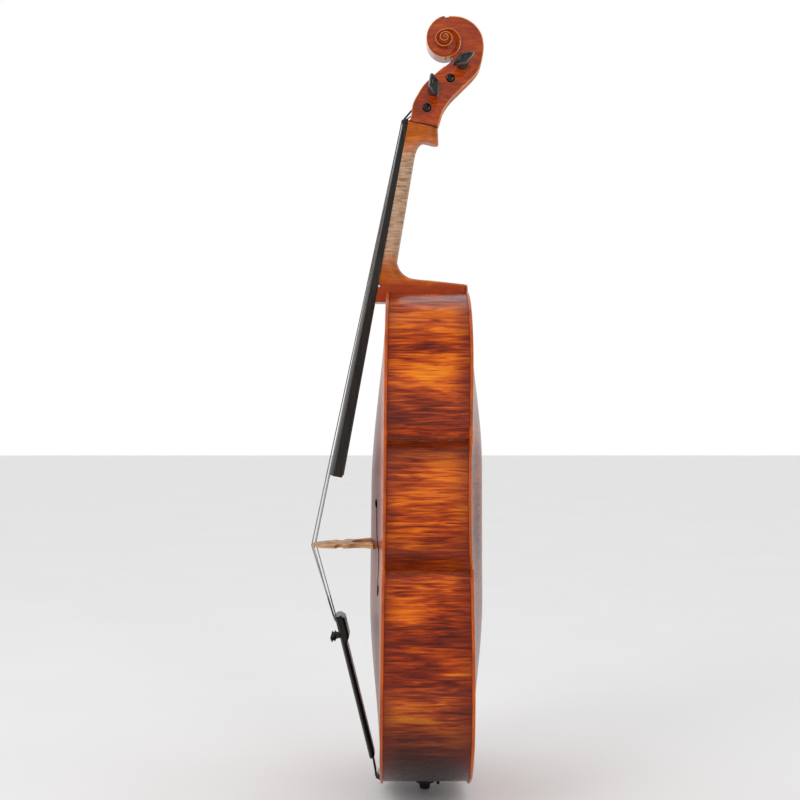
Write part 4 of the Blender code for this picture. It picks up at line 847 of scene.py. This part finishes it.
def head():
    """The pegbox and throat: rounded edges, an open slot, and two flutes down the back."""
    turn_over = []
    for degrees in range(-70, -265, -10):
        reach = 0.0288 + 0.0052 * max(0.0, (-degrees - 200) / 60)
        turn_over.append((0.0581 + reach * math.cos(math.radians(degrees)),
                          0.1332 + reach * math.sin(math.radians(degrees))))
    front = [(0.0012, 0.0040), (0.0053, 0.0097), (0.0084, 0.0301), (0.0162, 0.0457), (0.0265, 0.0614),
             (0.0447, 0.0789), (0.0610, 0.0922), (0.0700, 0.1000)]
    back = [(0.0680, 0.1690), (0.0860, 0.1668), (0.1020, 0.1580), (0.1128, 0.1450), (0.1175, 0.1307),
            (0.1176, 0.1117), (0.1096, 0.0839), (0.0838, 0.0560), (0.0675, 0.0400), (0.0556, 0.0230),
            (0.0504, 0.0080), (0.0466, -0.0052)]
    front = smooth_line(front, 5)
    back = smooth_line(turn_over[-2:] + back, 5)[5:]
    outline = front + turn_over + back
    flute = [0.0] * (len(front) + len(turn_over) - 6) + [0.5] * 6 + [1.0] * len(back)
    flute[-4:] = [0.75, 0.5, 0.25, 0.0]
    sections = []
    count = 16
    for i in range(count + 1):
        across = -1.0 + 2 * i / count
        edge = max(0.0, abs(across) - 0.875) / 0.125
        dip = math.sin(math.pi * min(1.0, abs(across) / 0.86)) ** 2 * 0.0022
        ring = []
        for k, (y, z) in enumerate(outline):
            y0, z0 = outline[k - 1]
            y1, z1 = outline[(k + 1) % len(outline)]
            run = Vector((y1 - y0, z1 - z0)).normalized()
            inward = dip * flute[k] + 0.0008 * edge
            ring.append(head_point(y + run.y * inward, z - run.x * inward, across * head_half(z)))
        sections.append(ring)
    box = loft("scroll_look", sections, SCROLL, angle=38.0)
    slot = [(-0.0060, 0.0267), (0.0020, 0.0192), (0.0160, 0.0127), (0.0350, 0.0117), (0.0425, 0.0207),
            (0.0530, 0.0407), (0.0690, 0.0577), (0.0820, 0.0702), (0.0970, 0.0857), (0.0985, 0.0985),
            (0.0930, 0.1040), (0.0790, 0.1040), (0.0600, 0.1030), (0.0420, 0.0867), (0.0170, 0.0687),
            (0.0020, 0.0517)]
    cut(box, loft("slot_cutter", [[head_point(y, z, side * (head_half(z) - 0.0062)) for y, z in slot]
                                  for side in (-1.0, 1.0)], SCROLL))
    for depth, height, _, _ in PEGS.values():
        cut(box, turned("peg_cutter", [(0.0, -0.03), (0.0070, -0.03), (0.0070, 0.03), (0.0, 0.03)], SCROLL,
                        head_point(depth, height), (1, 0, 0), 32))
    stands_for(finish_object(box, SCROLL, 38.0), "scroll")
    volute()
    edging("pegbox_edge_back", [(y, z) for y, z in back[4:]])
    edging("pegbox_edge_front", front[3:-6])
    band = []
    for i in range(13):
        share = i / 12
        band.append(neck_point(0.2704, -0.0474 * share) + Vector((0.0, 0.0, -0.0014 * share)))
    for hand in (1, -1):
        strip = [point + Vector((hand * 0.0184, 0.0, 0.0)) for point in band]
        extra(tube("graft_line", strip, 0.00055, PURFLING), "scroll")


def edging(name, line):
    """The worn, lighter chamfer along both edges of the head."""
    for hand in (1, -1):
        points = [head_point(y, z, hand * (head_half(z) - 0.0006)) for y, z in line]
        extra(tube(name, points, 0.00085, CHAMFER), "scroll")


SPIRAL = (37.0, 31.5, 28.8, 29.0, 29.6, 28.6, 24.5, 19.0, 14.6, 14.2, 15.2, 14.8, 13.8, 12.6, 11.0, 9.2,
          8.2, 8.0, 8.0, 7.4, 6.6, 5.6, 4.7, 4.4, 4.2)
RISE = (12.6, 13.4, 14.6, 15.8, 16.9, 17.9, 18.8, 19.8, 21.0, 22.2, 23.2, 24.2, 25.0, 25.8, 26.5, 27.2,
        27.9, 28.5, 29.1, 29.6, 30.1, 30.5, 30.9, 31.2, 31.4)


def volute():
    """The spiral on both sides of the head: a rim, a hollow inside it, and a wall up to the next."""
    fine = 8
    radii = [value[0] / 1000 for value in smooth_line([(r,) for r in SPIRAL], fine)]
    rises = [value[0] / 1000 for value in smooth_line([(r,) for r in RISE], fine)]
    turn = 8 * fine
    last = len(radii) - 1
    rims = []
    shape = bmesh.new()
    for hand in (1, -1):
        rows = []
        rim = []
        for i in range(len(radii)):
            angle = math.radians(90.0 + 360.0 * i / turn)
            way = Vector((0.0, math.cos(angle), math.sin(angle)))
            inner = radii[min(i + turn, last)] if i + turn <= last else 0.0040
            outer, height = radii[i], rises[i]
            width = outer - inner
            dip = min(0.0052, 0.30 * width + 0.0008)
            row = []
            for share, drop in ((0.0, 1.0), (0.12, 1.08), (0.30, 0.98), (0.55, 0.66), (0.78, 0.30),
                                (1.0 - 0.0014 / max(width, 0.002), 0.02),
                                (1.0 - 0.0009 / max(width, 0.002), 0.0)):
                row.append(EYE + way * (inner + width * share) + Vector((hand * (height - dip * drop), 0, 0)))
            row.append(EYE + way * outer + Vector((hand * (height - 0.0008), 0, 0)))
            foot = rises[max(i - turn, 0)] - 0.0068 if i >= turn else 0.0
            row.append(EYE + way * (outer + (0.0003 if i >= turn else 0.0)) + Vector((hand * foot, 0, 0)))
            rows.append([shape.verts.new(point) for point in row])
            rim.append(EYE + way * (outer - 0.0005) + Vector((hand * (height - 0.0004), 0, 0)))
        for a, b in zip(rows, rows[1:]):
            for j in range(len(a) - 1):
                shape.faces.new((a[j], a[j + 1], b[j + 1], b[j]))
        rims.append(rim)
    bmesh.ops.remove_doubles(shape, verts=shape.verts, dist=0.00001)
    extra(mesh_object("volute_look", shape, SCROLL, 40.0), "scroll")
    for rim in rims:
        extra(tube("volute_rim", rim[2:], 0.00062, CHAMFER), "scroll")
    dome = [(0.0, 0.0320), (0.0012, 0.0319), (0.0024, 0.0315), (0.0034, 0.0307), (0.0040, 0.0296),
            (0.0042, 0.0270), (0.0042, 0.010), (0.0, 0.010)]
    for hand in (1, -1):
        extra(turned("volute_eye", dome, SCROLL, EYE, (hand, 0, 0)), "scroll")


def peg(word):
    """A tapered shank, a turned collar and a flat oval head with a ridge down its middle."""
    depth, height, hand, lean = PEGS[word]
    collar = head_half(height) + 0.0020
    end = collar + 0.040

    def shank(z):
        return 0.0066 - 0.0010 * (0.5 - z / 0.060)

    tip = -collar - 0.0006
    profile = [(0.0, end - 0.012), (0.0042, end - 0.012), (0.0040, collar + 0.0120),
               (0.0044, collar + 0.0085),
               (0.0056, collar + 0.0066), (0.0074, collar + 0.0058), (0.0088, collar + 0.0046),
               (0.0092, collar + 0.0034), (0.0090, collar + 0.0026), (0.0078, collar + 0.0020),
               (0.0088, collar + 0.0014), (0.0088, collar + 0.0004), (0.0080, collar),
               (shank(collar), collar),
               (shank(tip), tip + 0.0014), (shank(tip) - 0.0004, tip + 0.0005), (shank(tip) - 0.0014, tip),
               (0.0, tip)]
    obj = turned(f"peg_{word}_look", profile, PEG_EBONY, head_point(depth, height), (hand, 0, 0))
    bpy.ops.mesh.primitive_uv_sphere_add(segments=48, ring_count=28, radius=0.5)
    knob = bpy.context.active_object
    turn = Matrix.Rotation(math.radians(lean), 3, "X")
    centre = head_point(depth, height, hand * (end - 0.0080))
    # The head's long way is Y before it is leaned over; X runs along the peg and Z is its thin way.
    for vertex in knob.data.vertices:
        along, wide, thin = vertex.co * 2
        swell = 1.0 - 0.28 * max(0.0, -along * hand) ** 1.5
        ridge = 0.16 * math.exp(-(wide / 0.14) ** 2) * (1.0 - along * along)
        flat = 0.62 + 0.38 * abs(along * hand) * 0.2
        point = Vector((along * 0.0150, wide * 0.0190 * swell, thin * 0.0085 * flat
                        * (1.0 + 0.55 * (1.0 - abs(wide)) + ridge)))
        vertex.co = centre + turn @ point
    finish_object(knob, PEG_EBONY, 60.0)
    knob.name = f"peg_{word}_head_look"
    stands_for(obj, "peg_" + word)
    extra(knob, "peg_" + word)


neck()
fingerboard()
head()
for word in WORDS:
    peg(word)


# Bridge, strings, nut, saddle and tailpiece

def lanes(spread):
    return [spread * (i - 1.5) / 3 for i in range(4)]


def crest_y(x):
    return belly_y(0.0, BRIDGE_Z) - BRIDGE_TOP + CREST_RADIUS - math.sqrt(CREST_RADIUS ** 2 - x ** 2)


def bridge():
    """The bridge, thinner toward its crest, with its heart, its side cuts and its eased edges."""
    ground = belly_y(0.0, BRIDGE_Z)
    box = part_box("bridge")
    foot = box[1].y
    half = [(0.0, BRIDGE_TOP), (0.0075, 0.0925), (0.0150, 0.0908), (0.0235, 0.0873), (0.0275, 0.0855),
            (0.0350, 0.0715), (0.0395, 0.0610), (0.0400, 0.0545), (0.0330, 0.0520), (0.0270, 0.0490), (0.0262, 0.0450),
            (0.0300, 0.0420), (0.0370, 0.0430), (0.0405, 0.0400), (0.0390, 0.0330), (0.0335, 0.0250),
            (0.0330, 0.0150), (0.0380, 0.0050), (0.0455, ground - foot + 0.0035),
            (0.0458, ground - foot + 0.0004),
            (0.0420, ground - foot), (0.0300, ground - foot + 0.0008), (0.0265, 0.0060), (0.0235, 0.0150),
            (0.0150, 0.0250), (0.0070, 0.0290), (0.0, 0.0300)]
    side = smooth_line(half, 4)
    outer = side + [(-x, up) for x, up in side[-2:0:-1]]
    heart = []
    for i in range(40):
        turn = math.tau * i / 40
        swell = 1.0 + 0.25 * abs(math.sin(turn))
        heart.append((HEART_RADIUS * math.sin(turn), HEART_UP + HEART_RADIUS * math.cos(turn) * swell))
    curve = bpy.data.curves.new("bridge", "CURVE")
    curve.dimensions = "2D"
    curve.fill_mode = "BOTH"
    curve.extrude = 0.5
    for outline in (outer, heart):
        spline = curve.splines.new("POLY")
        spline.points.add(len(outline) - 1)
        for point, (x, up) in zip(spline.points, outline):
            point.co = (x, ground - up, 0.0, 1.0)
        spline.use_cyclic_u = True
    flat = bpy.data.objects.new("bridge_flat", curve)
    bpy.context.scene.collection.objects.link(flat)
    mesh = bpy.data.meshes.new_from_object(flat.evaluated_get(bpy.context.evaluated_depsgraph_get()))
    bpy.data.objects.remove(flat)
    shape = bmesh.new()
    shape.from_mesh(mesh)
    bmesh.ops.remove_doubles(shape, verts=shape.verts, dist=0.00001)
    for vertex in shape.verts:
        up = min(1.0, max(0.0, (ground - vertex.co.y) / BRIDGE_TOP))
        thick = BRIDGE_FOOT + (BRIDGE_CREST - BRIDGE_FOOT) * up
        vertex.co.z = BRIDGE_Z + (thick if vertex.co.z > 0.0 else 0.0)
    stands_for(bevelled(mesh_object("bridge_look", shape, BRIDGE, 30.0), 0.0004, 2, 50.0), "bridge")


def tail_half(down):
    return 0.0270 + (0.0170 - 0.0270) * (down / TAIL_LENGTH) ** 0.8


def tail_crown(down, x):
    return 0.0050 - 0.0030 * (x / tail_half(down)) ** 2


def tail_cutter(lane, downs, outs, width):
    corners = [(down, out) for down in downs for out in outs]
    corners = [corners[0], corners[1], corners[3], corners[2]]
    return loft("tail_cutter", [[tail_point(down, out, lane + side * width / 2) for down, out in corners]
                                for side in (-1, 1)], COMPOSITE)


def tailpiece():
    """A moulded tailpiece: rounded crown, tuner housing under its upper end, slots and cord holes."""
    sections = []
    downs = [0.0, 0.0012, 0.0028, 0.0042, 0.0058, 0.010, 0.020, 0.030, 0.034, 0.038, 0.042, 0.046, 0.060,
             0.090,
             0.130, 0.170, 0.205, 0.222, 0.2270, 0.2300, TAIL_LENGTH]
    for down in downs:
        end = TAIL_LENGTH - down
        half = tail_half(down) - 0.0050 * max(0.0, 1.0 - end / 0.0045) ** 2
        half -= 0.0012 * max(0.0, 1.0 - down / 0.0028)
        ridge = 0.0014 * math.exp(-((down - 0.0028) / 0.0022) ** 2)
        lower = 0.0050 + 0.0062 * (1.0 - smooth((down - 0.034) / 0.012))
        lower -= 0.0050 * (1.0 - smooth(down / 0.006)) + 0.0022 * (1.0 - smooth(end / 0.006))
        section = []
        for k in range(17):
            across = -1.0 + k / 8
            edge = 0.0016 * max(0.0, (abs(across) - 0.80) / 0.20) ** 2
            crown = tail_crown(down, across * tail_half(down)) + ridge - edge
            section.append(tail_point(down, crown, across * half))
        for across in (1.0, 0.97, 0.90, 0.80, 0.5, 0.0, -0.5, -0.80, -0.90, -0.97, -1.0):
            lift = 0.0034 * max(0.0, (abs(across) - 0.72) / 0.28) ** 2.2
            section.append(tail_point(down, -lower + lift, across * half))
        sections.append(section)
    obj = loft("tailpiece_look", sections, COMPOSITE, angle=38.0)
    for lane in lanes(TAIL_SPREAD):
        cut(obj, tail_cutter(lane, (0.0065, 0.0210), (-0.030, 0.020), 0.0050))
        cut(obj, tail_cutter(lane, (0.0200, 0.0420), (-0.030, -0.0025), 0.0050))
        hole = [(0.0, -0.02), (0.0020, -0.02), (0.0020, 0.02), (0.0, 0.02)]
        cut(obj, turned("screw_cutter", hole, COMPOSITE,
                        tail_point(SCREW_DOWN, 0.0, lane), TAIL_OUT, 24))
    cut(obj, tail_cutter(0.0, (0.2150, 0.2220), (-0.0030, 0.010), 0.0200))
    stands_for(finish_object(obj, COMPOSITE, 38.0), "tailpiece")


def tuner_screw(word, lane):
    """A fine tuner's screw: two milled rings on a thin shank, with a domed end."""
    base = tail_point(SCREW_DOWN, 0.0, lane)
    profile = [(0.0, 0.0184), (0.0020, 0.0182), (0.0036, 0.0177), (0.0036, 0.0170), (0.0036, 0.0153),
               (0.0030, 0.0147), (0.0030, 0.0135), (0.0036, 0.0129), (0.0036, 0.0110), (0.0030, 0.0103),
               (0.0022, 0.0100), (0.0016, 0.0092), (0.0016, -0.0056), (0.0010, -0.0060), (0.0, -0.0061)]
    obj = turned(f"tuner_screw_{word}_look", profile, METAL, base, TAIL_OUT, 32)
    turn = TAIL_OUT.to_track_quat("Z", "Y").to_matrix()
    for low, high in ((0.0112, 0.0128), (0.0155, 0.0171)):
        sections = []
        for height, grow in ((low, 0.0), (low + 0.0003, 0.0004), (high - 0.0003, 0.0004), (high, 0.0)):
            ring = []
            for i in range(96):
                angle = math.tau * i / 96
                radius = 0.0044 + grow + (0.0002 if i % 4 < 2 else 0.0)
                spot = Vector((radius * math.cos(angle), radius * math.sin(angle), height))
                ring.append(base + turn @ spot)
            sections.append(ring)
        extra(loft(f"tuner_ring_{word}", sections, METAL, angle=25.0), "tuner_screw_" + word)
    stands_for(obj, "tuner_screw_" + word)


def string_points(index):
    """A string's line: tuner, ridge, bridge, nut, then round its peg."""
    word = WORDS[index]
    radius = STRING_RADII[index]
    spreads = (TAIL_SPREAD, BRIDGE_SPREAD, NUT_SPREAD)
    tail_lane, bridge_lane, nut_lane = (lanes(spread)[index] for spread in spreads)
    depth, height, hand, _ = PEGS[word]
    ridge = tail_crown(0.0, tail_lane) + 0.0014 + radius
    points = [tail_point(0.0190, 0.0002, tail_lane), tail_point(0.0128, 0.0002, tail_lane),
              tail_point(0.0076, ridge - 0.0012, tail_lane), tail_point(0.0048, ridge, tail_lane),
              tail_point(0.0022, ridge, tail_lane)]
    points.append(Vector((bridge_lane, crest_y(bridge_lane) - radius - 0.0002, BRIDGE_Z + 0.0014)))
    for along, drop in ((0.0015, 0.0002), (0.0038, 0.0002), (0.0062, 0.0016), (0.0080, 0.0032)):
        points.append(neck_point(NECK_LENGTH + along, 0.0104 - drop + radius, nut_lane))
    if word in "gd":
        over = head_point(*PEGS["a"][:2], nut_lane)
        for degrees in (142, 125, 108):
            turn = math.radians(degrees)
            points.append(over + Vector((0.0, math.cos(turn), math.sin(turn))) * 0.0082)
    lane = hand * (head_half(height) - 0.0078 - radius)
    centre = head_point(depth, height)
    for i in range(61):
        turn = math.radians(135 - 12 * i)
        x = lane - hand * (2 * radius + 0.0002) * (2.0 - i / 30)
        reach = 0.0070 + radius
        points.append(centre + Vector((x, reach * math.cos(turn), reach * math.sin(turn))))
    return points, radius


def string(index):
    word = WORDS[index]
    points, radius = string_points(index)
    stands_for(tube(f"string_{word}_look", points, radius, STRING, False, 4), "string_" + word)
    start, crest = points[4], points[5]
    silk = [start + (crest - start) * share for share in (0.015, 0.10, 0.20, 0.27)]
    extra(tube(f"string_{word}_silk", silk, radius + 0.00018, SILK, False, 4), "string_" + word)
    extra(tube(f"string_{word}_peg_silk", points[9:], radius + 0.00012, SILK, False, 3), "string_" + word)
    ball = [(0.0, -0.0022), (0.0019, -0.0022), (0.0021, -0.0012), (0.0016, 0.0), (0.0021, 0.0012),
            (0.0019, 0.0022), (0.0, 0.0022)]
    seat = tail_point(0.0190, 0.0, lanes(TAIL_SPREAD)[index])
    extra(turned(f"string_{word}_ball", ball, METAL, seat, (1, 0, 0), 24), "string_" + word)


bridge()
tailpiece()
for index, word in enumerate(WORDS):
    tuner_screw(word, lanes(TAIL_SPREAD)[index])
    string(index)
    refined("tuner_lever_" + word, METAL, 0.0003, 2)
for node, look, width in (("nut", EBONY, 0.0006), ("saddle", PEG_EBONY, 0.0012),
                          ("endpin_collar", PEG_EBONY, 0.0004),
                          ("endpin_rod", METAL, 0.0004), ("endpin_foot", RUBBER, 0.0006),
                          ("endpin_thumb_screw", METAL, 0.0004), ("tail_cord", COMPOSITE, 0.0),
                          ("tuner_axle", METAL, 0.0002)):
    refined(node, look, width, 3)


def inner_pieces():
    """Blocks, linings, bar and post keep their own shapes, in bare wood."""
    for node in NODES.values():
        if not node.hide_render:
            node.data.materials.clear()
            node.data.materials.append(INNER)


inner_pieces()


# Stage, light and camera

def soft_light(name, place, aim, size, power, size_y=None):
    data = bpy.data.lights.new(name, "AREA")
    data.shape = "RECTANGLE"
    data.size = size
    data.size_y = size_y or size
    data.energy = power
    light = bpy.data.objects.new(name, data)
    light.location = place
    light.rotation_euler = (Vector(aim) - Vector(place)).to_track_quat("-Z", "Y").to_euler()
    bpy.context.scene.collection.objects.link(light)
    return light


def stage():
    shape = bmesh.new()
    profile = [(-12.0, 0.0), (6.0, 0.0)]
    rows = [[shape.verts.new((x, y, z)) for x, z in profile] for y in (-9.0, 9.0)]
    shape.faces.new((rows[0][0], rows[0][1], rows[1][1], rows[1][0]))
    floor_look = Look("pale_floor", 0.65)
    floor_look.colour(floor_look.ramp(floor_look.noise(floor_look.scaled((3.0, 3.0, 3.0))),
                                      [(0.3, (0.97, 0.97, 0.97)), (0.7, (0.99, 0.99, 0.99))]))
    floor = mesh_object("floor", shape, floor_look.material)
    world = bpy.data.worlds.new("studio")
    bpy.context.scene.world = world
    world.use_nodes = True
    nodes, links = world.node_tree.nodes, world.node_tree.links
    side = nodes.new("ShaderNodeSeparateXYZ")
    links.new(nodes.new("ShaderNodeTexCoord").outputs["Generated"], side.inputs["Vector"])
    fade = nodes.new("ShaderNodeMapRange")
    links.new(side.outputs["X"], fade.inputs["Value"])
    for name, value in (("From Min", -0.75), ("From Max", 0.45), ("To Min", 1.0), ("To Max", 0.60)):
        fade.inputs[name].default_value = value
    links.new(fade.outputs["Result"], nodes["Background"].inputs["Color"])
    nodes["Background"].inputs["Strength"].default_value = 1.0
    soft_light("key", (2.4, -2.2, 2.2), (0.0, 0.0, 0.6), 1.4, 24.0, 2.0)
    soft_light("side", (3.0, 1.4, 1.2), (0.0, 0.0, 0.6), 0.8, 10.0, 2.2)


def camera():
    data = bpy.data.cameras.new("camera")
    data.sensor_width = 36.0
    data.lens = 56.97
    made = bpy.data.objects.new("camera", data)
    made.location = (2.0, -0.0392, 0.6129)
    made.rotation_euler = (math.radians(90.0), 0.0, math.radians(90.0))
    bpy.context.scene.collection.objects.link(made)
    bpy.context.scene.camera = made


stage()
camera()
bpy.context.scene.view_settings.view_transform = "Standard"
